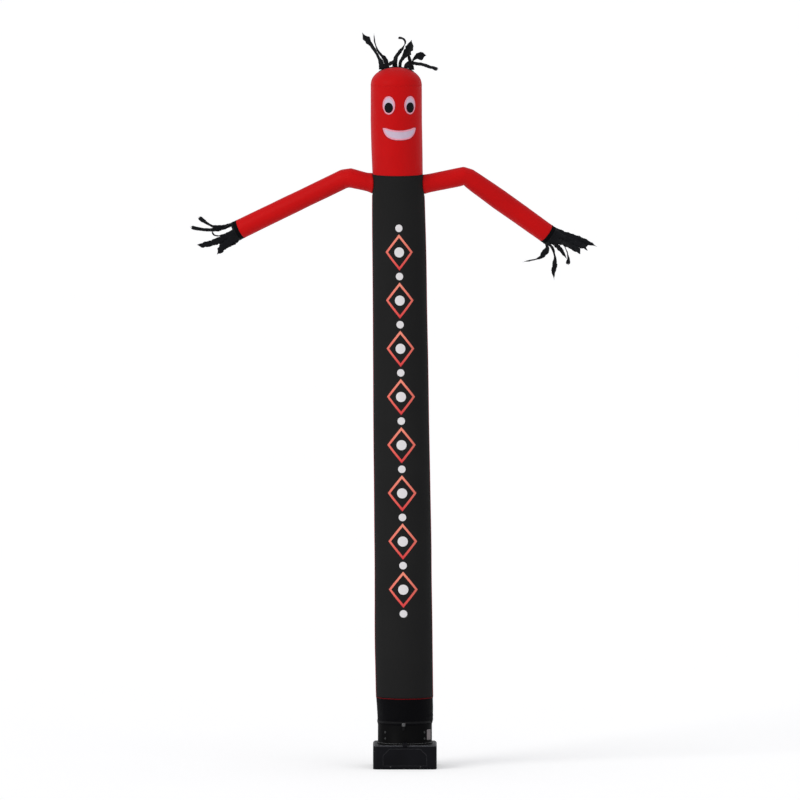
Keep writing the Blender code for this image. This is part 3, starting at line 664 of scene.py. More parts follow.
def stitch_row(
    name: str, line: Line, count: int, size: tuple[float, float, float], finish: Finish
) -> bpy.types.Object:
    """A row of small stitches along a line on a surface.

    Args:
        name: The piece's name.
        line: Gives the point, the outward direction and the sideways direction at a share.
        count: The number of stitches.
        size: A stitch's length, width and height.
        finish: The thread's finish.

    Returns:
        The piece's object.
    """
    shape = bmesh.new()
    shape.loops.layers.uv.new("cloth")
    for number in range(count):
        point, out, aside = line((number + 0.5) / count)
        run = aside.cross(out)
        made = bmesh.ops.create_cube(shape, size=1.0)["verts"]
        top = [vert for vert in made if vert.co.z > 0.0]
        bmesh.ops.scale(shape, vec=(0.6, 0.5, 1.0), verts=top)
        axes = Matrix((run * size[0], aside * size[1], out * size[2])).transposed().to_4x4()
        bmesh.ops.transform(shape, matrix=Matrix.Translation(point) @ axes, verts=made)
    bmesh.ops.recalc_face_normals(shape, faces=shape.faces[:])
    return finish_piece(name, shape, finish)


def mark_wear(shape: bmesh.types.BMesh) -> None:
    """Writes how rubbed each point is, from its outer edges' angles.

    Args:
        shape: The closed bmesh to mark.
    """
    layer = shape.verts.layers.float.new("wear")
    shape.normal_update()
    for vert in shape.verts:
        angles = [edge.calc_face_angle_signed(0.0) for edge in vert.link_edges if edge.is_manifold]
        vert[layer] = min(1.0, max([0.0, *angles]) / WORN_ANGLE)


def mark_painted_highlight(shape: bmesh.types.BMesh, highlight_at: Callable[[Vector], float]) -> None:
    """Writes each point's share of painted highlight, from its place.

    Args:
        shape: The bmesh to mark.
        highlight_at: Gives the painted highlight's share at a point, from 0 to 1.
    """
    layer = shape.verts.layers.float.new("wear")
    for vert in shape.verts:
        vert[layer] = highlight_at(vert.co)


def box_shape(size: Sequence[float], middle: Sequence[float]) -> bmesh.types.BMesh:
    """A box of a size about a middle.

    Args:
        size: The box's three sizes.
        middle: The box's middle.

    Returns:
        The bmesh.
    """
    shape = bmesh.new()
    bmesh.ops.create_cube(shape, size=1.0)
    place = Matrix.Translation(middle) @ Matrix.Diagonal((*size, 1.0))
    bmesh.ops.transform(shape, matrix=place, verts=shape.verts[:])
    return shape


def round_edges(shape: bmesh.types.BMesh, edges: list, offset: float, segments: int) -> None:
    """Bevels edges.

    Args:
        shape: The bmesh that holds the edges.
        edges: The edges to round.
        offset: The bevel's width.
        segments: The bevel's segments.
    """
    bmesh.ops.bevel(
        shape,
        geom=edges,
        offset=offset,
        segments=segments,
        profile=0.5,
        affect="EDGES",
        material=-1,
        clamp_overlap=True,
    )


@dataclass(frozen=True)
class Crease:
    """A soft ridge or trough, placed one by one on a tube of cloth. The turn is round the tube in
    degrees, the heading is in degrees from level, and a trough has a negative lift."""

    turn: float
    along: float
    heading: float
    length: float
    width: float
    lift: float
    bow: float = 0.0

    def at(self, turn: float, along: float, radius: float) -> float:
        """The crease's lift at a place.

        Args:
            turn: The place's turn in degrees.
            along: The place's distance along the tube.
            radius: The tube's radius.

        Returns:
            The lift in metres.
        """
        level = math.radians((turn - self.turn + 180.0) % 360.0 - 180.0) * radius
        rise = along - self.along
        angle = math.radians(self.heading)
        run = level * math.cos(angle) + rise * math.sin(angle)
        share = 2.0 * run / self.length
        if abs(share) >= 1.0:
            return 0.0
        off = rise * math.cos(angle) - level * math.sin(angle) - self.bow * (1.0 - share * share)
        return self.lift * (1.0 - share * share) ** 2 * math.exp(-((off / self.width) ** 2))


@dataclass(frozen=True)
class Pucker:
    """The small gathers that a row of stitches draws into cloth."""

    along: float
    waves: int
    depth: float
    reach: float
    draw: float = 0.0

    def at(self, turn: float, along: float) -> float:
        """The pucker's lift at a place.

        Args:
            turn: The place's turn in degrees.
            along: The place's distance along the tube.

        Returns:
            The lift in metres.
        """
        away = abs(along - self.along) / self.reach
        if away > 4.0:
            return 0.0
        angle = math.radians(turn)
        uneven = 0.6 + 0.4 * math.sin(5.0 * angle + self.along * 7.0)
        wave = math.sin(self.waves * angle + 1.3 * math.sin(3.0 * angle)) * uneven
        return (self.depth * wave - self.draw) * math.exp(-away)


TUBE_LEVELS = (
    (0.400, 0.000, 0.2491),
    (0.412, 0.000, 0.2484),
    (0.432, 0.000, 0.2484),
    (0.470, 0.004, 0.2535),
    (0.560, 0.001, 0.2560),
    (0.632, -0.003, 0.2582),
    (0.646, -0.003, 0.2582),
    (1.070, -0.010, 0.2600),
    (1.980, -0.018, 0.2565),
    (2.890, -0.030, 0.2530),
    (3.810, -0.040, 0.2480),
    (4.720, -0.052, 0.2420),
    (5.150, -0.058, 0.2380),
    (5.330, -0.0615, 0.2345),
    (5.415, -0.0655, 0.2305),
    (5.480, -0.0680, 0.2310),
    (5.640, -0.0725, 0.2330),
    (5.900, -0.0785, 0.2340),
    (6.237, -0.0790, 0.2335),
)
NECK = 5.415
CROWN_SEAM = 6.237
CROWN_RISE = 0.155
HEM_MIDDLE = 0.639
HEM_TOP = 0.645
CLOTH_THICKNESS = 0.0012


@dataclass
class Tube:
    """A stretch of the standing tube of cloth, with its creases and puckers."""

    bottom: float
    top: float
    creases: tuple[Crease, ...] = ()
    puckers: tuple[Pucker, ...] = ()
    unevenness: float = 0.0012

    @staticmethod
    def middle(z: float) -> tuple[float, float]:
        """The tube's sideways place and radius at a height."""
        levels = [level[0] for level in TUBE_LEVELS]
        return (
            float(np.interp(z, levels, [level[1] for level in TUBE_LEVELS])),
            float(np.interp(z, levels, [level[2] for level in TUBE_LEVELS])),
        )

    def lift(self, turn: float, z: float, radius: float) -> float:
        """How far the cloth stands off its round form at a place."""
        angle = math.radians(turn)
        cloud = noise.noise(Vector((math.sin(angle) * 1.6, math.cos(angle) * 1.6, z * 1.9)))
        total = self.unevenness * cloud
        total += sum(crease.at(turn, z, radius) for crease in self.creases)
        return total + sum(pucker.at(turn, z) for pucker in self.puckers)

    def point(self, turn: float, z: float, proud: float = 0.0) -> Vector:
        """A point on the cloth.

        Args:
            turn: Degrees from the front towards +X.
            z: The height.
            proud: How far outside the cloth the point lies.

        Returns:
            The point.
        """
        x, radius = self.middle(z)
        angle = math.radians(turn)
        out = radius + proud + self.lift(turn, z, radius)
        return Vector((x + out * math.sin(angle), -out * math.cos(angle), z))

    @staticmethod
    def outward(turn: float) -> Vector:
        """The level direction away from the tube's middle at a turn."""
        angle = math.radians(turn)
        return Vector((math.sin(angle), -math.cos(angle), 0.0))

    def sheet(
        self, across: int, along: int, turns: tuple[float, float], around: float = 0.0
    ) -> bmesh.types.BMesh:
        """The sheet between two turns.

        Args:
            across: The number of cells across.
            along: The number of cells along.
            turns: The first and last turn in degrees.
            around: The turn at which the cloth map starts to count.

        Returns:
            The bmesh, facing out.
        """
        first, last = turns
        _, radius = self.middle((self.bottom + self.top) / 2)
        width = math.radians(last - first) * radius
        begin = math.radians(first - around) * radius

        def place(side: float, up: float) -> Vector:
            """The cloth at the shares across and up."""
            return self.point(first + (last - first) * side, self.bottom + (self.top - self.bottom) * up)

        shape = mapped_grid(across, along, place, width, self.top - self.bottom, (begin, self.bottom))
        return face_outwards(shape, lambda point: Vector((self.middle(point.z)[0], 0.0, point.z)))


@dataclass(frozen=True)
class ArmLine:
    """An arm's middle line and its radii, from inside the body to the wrist."""

    side: Side
    root: Vector
    elbow_near: Vector
    elbow_far: Vector
    wrist: Vector
    radii: tuple[float, float, float, float]
    flare: float
    creases: tuple[Crease, ...]

    @property
    def runs(self) -> list[Vector]:
        """The directions of the three straight stretches."""
        line = [self.root, self.elbow_near, self.elbow_far, self.wrist]
        return [(after - before).normalized() for before, after in zip(line, line[1:])]

    @staticmethod
    def ring(middle: Vector, before: Vector, after: Vector, radius: float) -> Matrix:
        """The matrix of a ring whose plane halves the turn between two runs."""
        normal = (before + after).normalized()
        front = (FRONT - normal * FRONT.dot(normal)).normalized()
        across = normal.cross(front) / max(0.5, math.cos(before.angle(after) / 2))
        columns = (front * radius, across * radius, normal, middle)
        return Matrix([[column[row] for column in columns] for row in range(3)] + [[0.0, 0.0, 0.0, 1.0]])

    def rings(self) -> list[tuple[float, Matrix]]:
        """The rings that the arm is lofted through, each with its distance along the arm."""
        runs = self.runs
        root, elbow, forearm, wrist = self.radii
        places = [
            (self.root, runs[0], runs[0], root),
            (self.root.lerp(self.elbow_near, 0.7), runs[0], runs[0], (root + elbow) / 2),
            (self.elbow_near, runs[0], runs[1], elbow),
            (self.elbow_far, runs[1], runs[2], elbow),
            (self.elbow_far.lerp(self.wrist, 0.10), runs[2], runs[2], (elbow + forearm) / 2),
            (self.elbow_far.lerp(self.wrist, 0.40), runs[2], runs[2], forearm),
            (self.elbow_far.lerp(self.wrist, 0.70), runs[2], runs[2], (forearm + wrist) / 2),
            (self.wrist, runs[2], runs[2], wrist),
        ]
        found, far, last = [], 0.0, self.root
        for middle, before, after, radius in places:
            far += (middle - last).length
            found.append((far, self.ring(middle, before, after, radius)))
            last = middle
        return found


LEFT_ARM = ArmLine(
    Side.LEFT,
    Vector((-0.180, 0.000, 5.302)),
    Vector((-0.494, 0.030, 5.376)),
    Vector((-0.556, 0.042, 5.366)),
    Vector((-1.494, 0.250, 4.892)),
    (0.0800, 0.0880, 0.0870, 0.0890),
    0.008,
    (
        Crease(-88, 0.345, 4, 0.170, 0.007, -0.0050),
        Crease(-70, 0.375, 14, 0.150, 0.006, -0.0040, 0.004),
        Crease(-112, 0.312, -12, 0.140, 0.006, -0.0036),
        Crease(-20, 0.352, 58, 0.120, 0.009, -0.0028),
        Crease(28, 0.350, 96, 0.160, 0.012, 0.0022),
        Crease(-40, 0.230, 68, 0.110, 0.008, 0.0020),
        Crease(-95, 0.165, 80, 0.090, 0.007, -0.0026),
        Crease(60, 0.150, 84, 0.080, 0.007, -0.0020),
        Crease(10, 0.900, 88, 0.420, 0.014, 0.0016),
        Crease(-60, 1.250, 86, 0.300, 0.012, -0.0016),
    ),
)
RIGHT_ARM = ArmLine(
    Side.RIGHT,
    Vector((0.060, 0.000, 5.298)),
    Vector((0.532, 0.042, 5.391)),
    Vector((0.582, 0.052, 5.375)),
    Vector((1.286, 0.230, 4.856)),
    (0.0845, 0.0840, 0.0940, 0.0900),
    0.003,
    (
        Crease(88, 0.505, 2, 0.210, 0.014, -0.0100),
        Crease(66, 0.530, -14, 0.150, 0.006, -0.0044, 0.004),
        Crease(108, 0.478, 12, 0.140, 0.006, -0.0040),
        Crease(24, 0.512, 62, 0.130, 0.009, -0.0030),
        Crease(-30, 0.505, 92, 0.150, 0.012, 0.0024),
        Crease(40, 0.330, 74, 0.140, 0.008, 0.0020),
        Crease(92, 0.250, 84, 0.090, 0.007, -0.0024),
        Crease(-8, 0.900, 92, 0.380, 0.014, 0.0016),
        Crease(52, 1.150, 90, 0.260, 0.012, -0.0018),
    ),
)


@dataclass
class Arm:
    """An arm's tube of red cloth, from the body's side to the wrist."""

    line: ArmLine
    across: int = 56
    along: int = 150
    seam_gap: float = 0.0008

    def loft(self, turn: float, far: float) -> Vector:
        """The round form's point.

        Args:
            turn: Degrees round the arm from the front.
            far: The distance along the arm from its root.

        Returns:
            The point.
        """
        rings = self.line.rings()
        index = 0
        while index < len(rings) - 2 and far > rings[index + 1][0]:
            index += 1
        (near, before), (next_far, after) = rings[index], rings[index + 1]
        share = (far - near) / (next_far - near)
        angle = math.radians(turn)
        unit = Vector((math.cos(angle), math.sin(angle), 0.0))
        return (before @ unit).lerp(after @ unit, share)

    def centre(self, far: float) -> Vector:
        """The arm's middle at a distance along it."""
        return (self.loft(0.0, far) + self.loft(180.0, far)) / 2

    def start(self, turn: float) -> float:
        """The distance along the arm at which it leaves the body, at a turn round the arm."""
        low, high = 0.0, 0.30
        for _ in range(24):
            half = (low + high) / 2
            point = self.loft(turn, half)
            x, radius = Tube.middle(point.z)
            if math.hypot(point.x - x, point.y) < radius + self.seam_gap:
                low = half
            else:
                high = half
        return high

    @property
    def length(self) -> float:
        """The arm's whole length from its root."""
        return self.line.rings()[-1][0]

    def skin(self, turn: float, far: float, start: float) -> Vector:
        """The creased cloth's point.

        Args:
            turn: Degrees round the arm from the front.
            far: The distance along the arm from its root.
            start: Where the cloth leaves the body at this turn.

        Returns:
            The point.
        """
        point = self.loft(turn, far)
        out = (point - self.centre(far)).normalized()
        radius = self.line.radii[1]
        lift = sum(crease.at(turn, far, radius) for crease in self.line.creases)
        lift += self.line.flare * math.exp(-(((far - start) / 0.030) ** 2))
        lift += 0.0012 * math.sin(math.radians(turn) * 13.0) * math.exp(-(far - start) / 0.03)
        lift += 0.0010 * math.sin(math.radians(turn) * 17.0) * math.exp(-(self.length - far) / 0.03)
        lift += 0.0014 * noise.noise(point * 5.0)
        return point + out * lift

    def build(self) -> bpy.types.Object:
        """Builds the arm.

        Returns:
            The arm's object.
        """
        starts: dict[int, float] = {}

        def place(side: float, up: float) -> Vector:
            """The cloth at the shares round and along."""
            key = round(side * self.across) % self.across
            turn = 360.0 * key / self.across
            if key not in starts:
                starts[key] = self.start(turn)
            begin = starts[key]
            return self.skin(turn, begin + (self.length - begin) * up, begin)

        around = 2 * math.pi * self.line.radii[1]
        span = self.length - self.start(90.0)
        shape = mapped_grid(self.across, self.along, place, around, span)
        near = (self.line.elbow_near + self.line.elbow_far) / 2
        for _ in range(2):
            soft = [vert for vert in shape.verts if (vert.co - near).length < 0.11 and not vert.is_boundary]
            axes = {f"use_axis_{axis}": True for axis in "xyz"}
            bmesh.ops.smooth_vert(shape, verts=soft, factor=0.5, **axes)
        line = [self.line.root, self.line.elbow_near, self.line.elbow_far, self.line.wrist]

        def nearest(point: Vector) -> Vector:
            """The nearest place on the arm's middle line."""
            found = []
            for before, after in zip(line, line[1:]):
                share = (point - before).dot(after - before) / (after - before).length_squared
                found.append(before.lerp(after, max(0.0, min(1.0, share))))
            return min(found, key=lambda place: (place - point).length)

        face_outwards(shape, nearest)
        name = f"arm_{self.line.side.word}_cloth"
        made = thicken(finish_piece(name, shape, RED_NYLON, 80.0), CLOTH_THICKNESS)
        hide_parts(f"arm_{self.line.side.word}")
        self.root_stitches()
        return made

    def root_stitches(self) -> None:
        """Builds the two rows of stitches that sew the arm to the body."""

        def line(share: float) -> tuple[Vector, Vector, Vector]:
            """The row's point and directions at a share of the turn."""
            turn = 360.0 * share
            begin = self.start(turn)
            point = self.skin(turn, begin + 0.006, begin)
            ahead = self.skin(turn, begin + 0.012, begin)
            out = (point - self.centre(begin + 0.006)).normalized()
            return point + out * 0.0003, out, (ahead - point).normalized()

        stitch_row(f"arm_{self.line.side.word}_stitches", line, 90, (0.0045, 0.0012, 0.0008), RED_STITCH)


@dataclass
class Body:
    """The body's two panels, the front one printed, the piping in their seams and at the hem, and their
    stitches.
    """

    piping_half: float = 0.0030
    gap: float = 0.0008
    across: int = 64
    along: int = 220
    piping_tops: dict[Side, float] = field(default_factory=lambda: {Side.LEFT: 5.226, Side.RIGHT: 5.218})
    tube: Tube = field(
        default_factory=lambda: Tube(
            HEM_MIDDLE + 0.0040,
            NECK - 0.0004,
            creases=(
                Crease(-62, 5.255, -34, 0.220, 0.012, 0.0030),
                Crease(-66, 5.180, -58, 0.260, 0.014, -0.0030),
                Crease(-48, 5.330, -12, 0.200, 0.012, -0.0022),
                Crease(60, 5.240, 32, 0.220, 0.012, 0.0028),
                Crease(66, 5.160, 56, 0.260, 0.014, -0.0030),
                Crease(46, 5.335, 10, 0.200, 0.012, -0.0022),
                Crease(-128, 5.220, 40, 0.240, 0.013, -0.0026),
                Crease(126, 5.230, -38, 0.240, 0.013, -0.0026),
                Crease(-30, 0.780, 78, 0.260, 0.014, 0.0026),
                Crease(12, 0.740, 86, 0.200, 0.012, -0.0022),
                Crease(48, 0.800, 96, 0.280, 0.015, 0.0024),
                Crease(158, 0.780, 84, 0.260, 0.014, -0.0024),
                Crease(-150, 0.760, 98, 0.240, 0.013, 0.0024),
                Crease(-20, 2.300, 88, 1.300, 0.030, 0.0014),
                Crease(30, 3.700, 92, 1.500, 0.034, -0.0014),
                Crease(170, 2.900, 90, 1.700, 0.034, 0.0016),
            ),
            puckers=(Pucker(NECK, 44, 0.0011, 0.022, 0.0018), Pucker(HEM_TOP, 34, 0.0014, 0.030, 0.0006)),
            unevenness=0.0022,
        )
    )

    def panel(self, name: str, turns: tuple[float, float], around: float, finish: Finish) -> bpy.types.Object:
        """Builds one panel with its arm holes.

        Args:
            name: The CAD node's name.
            turns: The panel's first and last turn in degrees.
            around: The turn at the panel's middle.
            finish: The panel's finish.

        Returns:
            The panel's object.
        """
        edge = math.degrees((self.piping_half + self.gap) / Tube.middle(NECK)[1])
        shape = self.tube.sheet(self.across, self.along, (turns[0] + edge, turns[1] - edge), around)
        for line in (LEFT_ARM, RIGHT_ARM):
            self.cut_arm_hole(shape, line)
        made = thicken(finish_piece(f"{name}_cloth", shape, finish, 80.0), CLOTH_THICKNESS)
        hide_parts(name)
        return made

    @staticmethod
    def cut_arm_hole(shape: bmesh.types.BMesh, line: ArmLine) -> None:
        """Cuts an arm's round hole out of a panel.

        Args:
            shape: The panel's bmesh.
            line: The arm that the hole is for.
        """
        run = line.runs[0]
        radius = line.radii[0] - 0.004

        def off(point: Vector) -> Vector:
            """How far a point lies off the arm's axis."""
            away = point - line.root
            return away - run * away.dot(run)

        def inside(point: Vector) -> bool:
            """Whether a point lies in the hole."""
            return off(point).length < radius and (point - line.root).dot(run) > 0.0

        gone = [face for face in shape.faces if all(inside(vert.co) for vert in face.verts)]
        bmesh.ops.delete(shape, geom=gone, context="FACES")
        for vert in shape.verts:
            if vert.is_boundary and inside(vert.co):
                away = off(vert.co)
                vert.co += away.normalized() * (radius - away.length)

    def build(self) -> None:
        """Builds the panels, the piping and the stitches."""
        self.panel("body_front", (-90.0, 90.0), 0.0, CHARCOAL_PRINT)
        self.panel("body_back", (90.0, 270.0), 180.0, CHARCOAL_NYLON)
        for side in Side:
            self.side_piping(side)
            for sign in (-1.0, 1.0):
                self.side_stitches(side, sign)
        self.hem_piping()
        self.neck_stitches()

    def side_piping(self, side: Side) -> None:
        """Builds a side seam's piping.

        Args:
            side: The seam's side.
        """
        bottom, top = self.tube.bottom, self.piping_tops[side]

        def line(share: float) -> tuple[Vector, Vector, Vector]:
            """The piping's point and directions at a share of its height."""
            z = bottom + (top - bottom) * share
            turn = side.value * 90.0
            return self.tube.point(turn, z, 0.0002), self.tube.outward(turn), Vector((0.0, 1.0, 0.0))

        name = f"side_piping_{side.word}"
        made = cord_round(f"{name}_cord", line, top - bottom, (0.0034, 0.0030), 200, SIDE_PIPING)
        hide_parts(name)

    def side_stitches(self, side: Side, sign: float) -> None:
        """Builds the row of stitches on one side of a side seam.

        Args:
            side: The seam's side.
            sign: 1 for the row towards the back, -1 for the row towards the front.
        """
        bottom, top = self.tube.bottom + 0.01, self.piping_tops[side] - 0.02
        turn = side.value * (90.0 + sign * 2.4)

        def line(share: float) -> tuple[Vector, Vector, Vector]:
            """The row's point and directions at a share of its height."""
            z = bottom + (top - bottom) * share
            out = self.tube.outward(turn)
            return self.tube.point(turn, z, 0.0002), out, out.cross(Vector((0.0, 0.0, 1.0)))

        row = "back" if sign > 0 else "front"
        stitch_row(f"side_stitches_{side.word}_{row}", line, 560, (0.0055, 0.0012, 0.0008), BLACK_STITCH)

    def hem_piping(self) -> None:
        """Builds the red piping round the hem."""

        def line(share: float) -> tuple[Vector, Vector, Vector]:
            """The piping's point and directions at a share of the turn."""
            turn = 360.0 * share
            wave = 0.0006 * math.sin(math.radians(turn) * 9.0)
            point = self.tube.point(turn, HEM_MIDDLE, -0.0006)
            return point + Vector((0.0, 0.0, wave)), self.tube.outward(turn), Vector((0.0, 0.0, 1.0))

        made = cord_round("hem_piping_cord", line, 1.63, (0.0038, 0.0036), 160, RED_PIPING, closed=True)
        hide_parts("hem_piping")

    def neck_stitches(self) -> None:
        """Builds the stitches of the neck seam."""
        z = NECK - 0.009

        def line(share: float) -> tuple[Vector, Vector, Vector]:
            """The row's point and directions at a share of the turn."""
            turn = 360.0 * share
            return self.tube.point(turn, z, 0.0002), self.tube.outward(turn), Vector((0.0, 0.0, 1.0))

        stitch_row("neck_stitches", line, 240, (0.0045, 0.0012, 0.0008), BLACK_STITCH)


@dataclass
class Head:
    """The head's red tube and its domed crown."""

    across: int = 112
    along: int = 96
    crown_along: int = 41
    crown_cut: float = 0.30
    lap: float = 0.003
    tuck: float = 0.0016
    tube: Tube = field(
        default_factory=lambda: Tube(
            NECK + 0.0006,
            CROWN_SEAM - 0.0003,
            creases=(
                Crease(-150, 5.560, 62, 0.300, 0.016, 0.0026),
                Crease(140, 5.620, 104, 0.320, 0.018, -0.0026),
                Crease(-52, 5.500, 74, 0.160, 0.012, 0.0018),
                Crease(38, 5.490, 98, 0.140, 0.012, -0.0018),
                Crease(70, 6.120, 84, 0.180, 0.014, 0.0016),
                Crease(-74, 6.130, 96, 0.180, 0.014, -0.0016),
                Crease(176, 6.080, 88, 0.260, 0.016, -0.0022),
            ),
            puckers=(Pucker(NECK, 44, 0.0011, 0.022, 0.0018), Pucker(CROWN_SEAM, 36, 0.0010, 0.022, 0.0004)),
            unevenness=0.0020,
        )
    )

    def crown_point(self, turn: float, share: float, proud: float = 0.0) -> Vector:
        """A point on the crown.

        Args:
            turn: Degrees from the front towards +X.
            share: The share of the way from the seam to the top, below 0 in the seam's lap.
            proud: How far outside the cloth the point lies.

        Returns:
            The point.
        """
        x, radius = Tube.middle(CROWN_SEAM)
        angle = math.radians(turn)
        above = max(0.0, share)
        rise = above * math.pi / 2
        pucker = self.tube.puckers[1].at(turn, CROWN_SEAM + above * 0.26) * (1.0 - above)
        cloud = noise.noise(Vector((math.sin(angle) * 1.6, math.cos(angle) * 1.6, CROWN_SEAM * 1.9 + above)))
        out = (radius - self.tuck + proud + pucker + self.tube.unevenness * cloud) * math.cos(rise)
        z = CROWN_SEAM + (CROWN_RISE + proud) * math.sin(rise) - (self.lap if share < 0.0 else 0.0)
        return Vector((x + out * math.sin(angle), -out * math.cos(angle), z))

    def build(self) -> None:
        """Builds the head, the crown and the crown seam's stitches."""
        shape = self.tube.sheet(self.across, self.along, (-180.0, 180.0))
        head = thicken(finish_piece("head_cloth", shape, RED_NYLON, 80.0), CLOTH_THICKNESS)
        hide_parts("head")
        around = 2 * math.pi * 0.2328
        rows = self.crown_along - 1

        def place(side: float, up: float) -> Vector:
            """The crown at the shares round and up, with its lap in the first row."""
            return self.crown_point(360.0 * side, (round(up * self.crown_along) - 1) / rows)

        shape = mapped_grid(self.across, self.crown_along, place, around, self.crown_cut, (0.0, CROWN_SEAM))
        face_outwards(shape, lambda point: Vector((Tube.middle(CROWN_SEAM)[0], 0.0, CROWN_SEAM)))
        crown = thicken(finish_piece("crown_cloth", shape, RED_NYLON, 80.0), CLOTH_THICKNESS)
        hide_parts("crown")
        z = CROWN_SEAM - 0.008

        def line(share: float) -> tuple[Vector, Vector, Vector]:
            """The row's point and directions at a share of the turn."""
            turn = 360.0 * share
            return self.tube.point(turn, z, 0.0002), self.tube.outward(turn), Vector((0.0, 0.0, 1.0))

        stitch_row("crown_stitches", line, 220, (0.0045, 0.0012, 0.0008), RED_STITCH)


@dataclass
class Face:
    """The eyes, pupils and mouth: patches sewn on the head with satin stitches round them."""

    head: Head
    turn: float = 7.9
    eye_turn: float = 25.0
    eye_z: float = 6.061
    eye_size: tuple[float, float] = (0.112, 0.162)
    pupil_z: float = 6.039
    pupil_size: tuple[float, float] = (0.075, 0.090)
    mouth_z: float = 5.793
    mouth_turn: float = 8.2
    mouth_half_turn: float = 39.8
    mouth_thickness: float = 0.083
    mouth_corner_drop: float = 0.016
    mouth_lift: float = 0.030
    patch: float = 0.0010

    def on_head(self, turn: float, z0: float, across: float, up: float, proud: float) -> Vector:
        """A point over the head, from a level offset that is seen straight on.

        Args:
            turn: The patch's turn in degrees.
            z0: The patch's height.
            across: The level offset.
            up: The upright offset.
            proud: How far outside the head the point lies.

        Returns:
            The point.
        """
        radius = Tube.middle(z0)[1]
        aside = math.degrees(math.asin(max(-0.999, min(0.999, across / radius))))
        return self.head.tube.point(turn + aside, z0 + up, proud)

    def ellipse(
        self, name: str, turn: float, z: float, size: tuple[float, float], proud: float, finish: Finish
    ) -> bpy.types.Object:
        """Builds an oval patch.

        Args:
            name: The CAD node's name.
            turn: The patch's turn in degrees.
            z: The patch's height.
            size: Its width and height.
            proud: How far outside the head its outer face lies.
            finish: The patch's finish.

        Returns:
            The patch's object.
        """

        def place(side: float, up: float) -> Vector:
            """The patch at its shares, from a square to a round."""
            x, y = 2 * side - 1, 2 * up - 1
            wide = x * math.sqrt(1 - y * y / 2) * size[0] / 2
            tall = y * math.sqrt(1 - x * x / 2) * size[1] / 2
            return self.on_head(turn, z, wide, tall, proud)

        shape = mapped_grid(22, 28, place, *size)
        face_outwards(shape, lambda point: Vector((Tube.middle(point.z)[0], 0.0, point.z)))
        made = thicken(finish_piece(f"{name}_patch", shape, finish, 80.0), self.patch)
        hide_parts(name)
        return made

    def rim(
        self,
        name: str,
        outline: Callable[[float], Vector],
        length: float,
        size: tuple[float, float],
        finish: Finish,
    ) -> None:
        """Builds the satin stitches round a patch.

        Args:
            name: The piece's name.
            outline: Gives the patch's edge at a share of the way round.
            length: The edge's length.
            size: The half width and half height of the stitches.
            finish: The thread's finish.
        """

        def line(share: float) -> tuple[Vector, Vector, Vector]:
            """The rim's point and directions at a share of the way round."""
            point = outline(share)
            run = (outline((share + 0.002) % 1.0) - outline((share - 0.002) % 1.0)).normalized()
            x, _ = Tube.middle(point.z)
            out = Vector((point.x - x, point.y, 0.0)).normalized()
            return point, out, run.cross(out).normalized()

        cord_round(name, line, length, size, 120, finish, closed=True)

    def eye(self, side: Side) -> None:
        """Builds one eye.

        Args:
            side: The eye's side.
        """
        turn = self.turn + side.value * self.eye_turn
        self.ellipse(f"eye_white_{side.word}", turn, self.eye_z, self.eye_size, 0.0013, PATCH_WHITE)
        self.ellipse(f"pupil_{side.word}", turn, self.pupil_z, self.pupil_size, 0.0026, RIBBON_NYLON)
        for name, z, size, proud, width, finish in (
            ("eye_edge", self.eye_z, tuple(s - 0.009 for s in self.eye_size), 0.0015, 0.0070, PINK_STITCH),
            ("eye_outline", self.eye_z, tuple(s + 0.007 for s in self.eye_size), 0.0002, 0.0024, DARK_STITCH),
            ("pupil_edge", self.pupil_z, self.pupil_size, 0.0024, 0.0028, BLACK_STITCH),
        ):

            def outline(share: float, z: float = z, size: tuple = size, proud: float = proud) -> Vector:
                """The oval's edge at a share of the way round."""
                angle = 2 * math.pi * share
                across, up = size[0] / 2 * math.cos(angle), size[1] / 2 * math.sin(angle)
                return self.on_head(turn, z, across, up, proud)

            length = math.pi * (size[0] + size[1]) / 2
            self.rim(f"{name}_{side.word}", outline, length, (width, 0.0014), finish)

    def mouth_edges(self, share: float) -> tuple[float, float, float]:
        """The mouth's sideways place, bottom and top at a share from -1 to 1."""
        x = Tube.middle(self.mouth_z)[1] * math.sin(math.radians(self.mouth_half_turn * share))
        body = self.mouth_thickness * math.sqrt(max(0.0, 1.0 - abs(share) ** 4.4))
        top = self.mouth_lift * share * share + self.mouth_thickness / 2 - self.mouth_lift * 0.2
        drop = self.mouth_corner_drop * (1.0 - math.sqrt(max(0.0, 1.0 - share**14)))
        return x, min(top - body, top - drop), top - drop

    def mouth(self) -> None:
        """Builds the mouth and its stitches."""

        def place(side: float, up: float) -> Vector:
            """The mouth at the shares across and up."""
            x, low, high = self.mouth_edges(math.sin(math.pi * (side - 0.5)))
            return self.on_head(self.mouth_turn, self.mouth_z, x, low + (high - low) * up, 0.0013)

        shape = mapped_grid(48, 12, place, 0.34, self.mouth_thickness)
        face_outwards(shape, lambda point: Vector((Tube.middle(point.z)[0], 0.0, point.z)))
        made = thicken(finish_piece("mouth_patch", shape, PATCH_WHITE, 80.0), self.patch)
        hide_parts("mouth")
        for name, grow, proud, width, finish in (
            ("mouth_edge", -0.0045, 0.0015, 0.0070, PINK_STITCH),
            ("mouth_outline", 0.0035, 0.0002, 0.0024, DARK_STITCH),
        ):

            def outline(share: float, grow: float = grow, proud: float = proud) -> Vector:
                """The mouth's edge at a share of the way round."""
                half = math.sin(math.pi * (2 * (share % 0.5) - 0.5))
                side = half if share < 0.5 else -half
                x, low, high = self.mouth_edges(side)
                up = low - grow if share < 0.5 else high + grow
                return self.on_head(self.mouth_turn, self.mouth_z, x * (1.0 + grow / 0.16), up, proud)

            self.rim(name, outline, 0.76, (width, 0.0014), finish)

    def build(self) -> None:
        """Builds both eyes and the mouth."""
        for side in Side:
            self.eye(side)
        self.mouth()


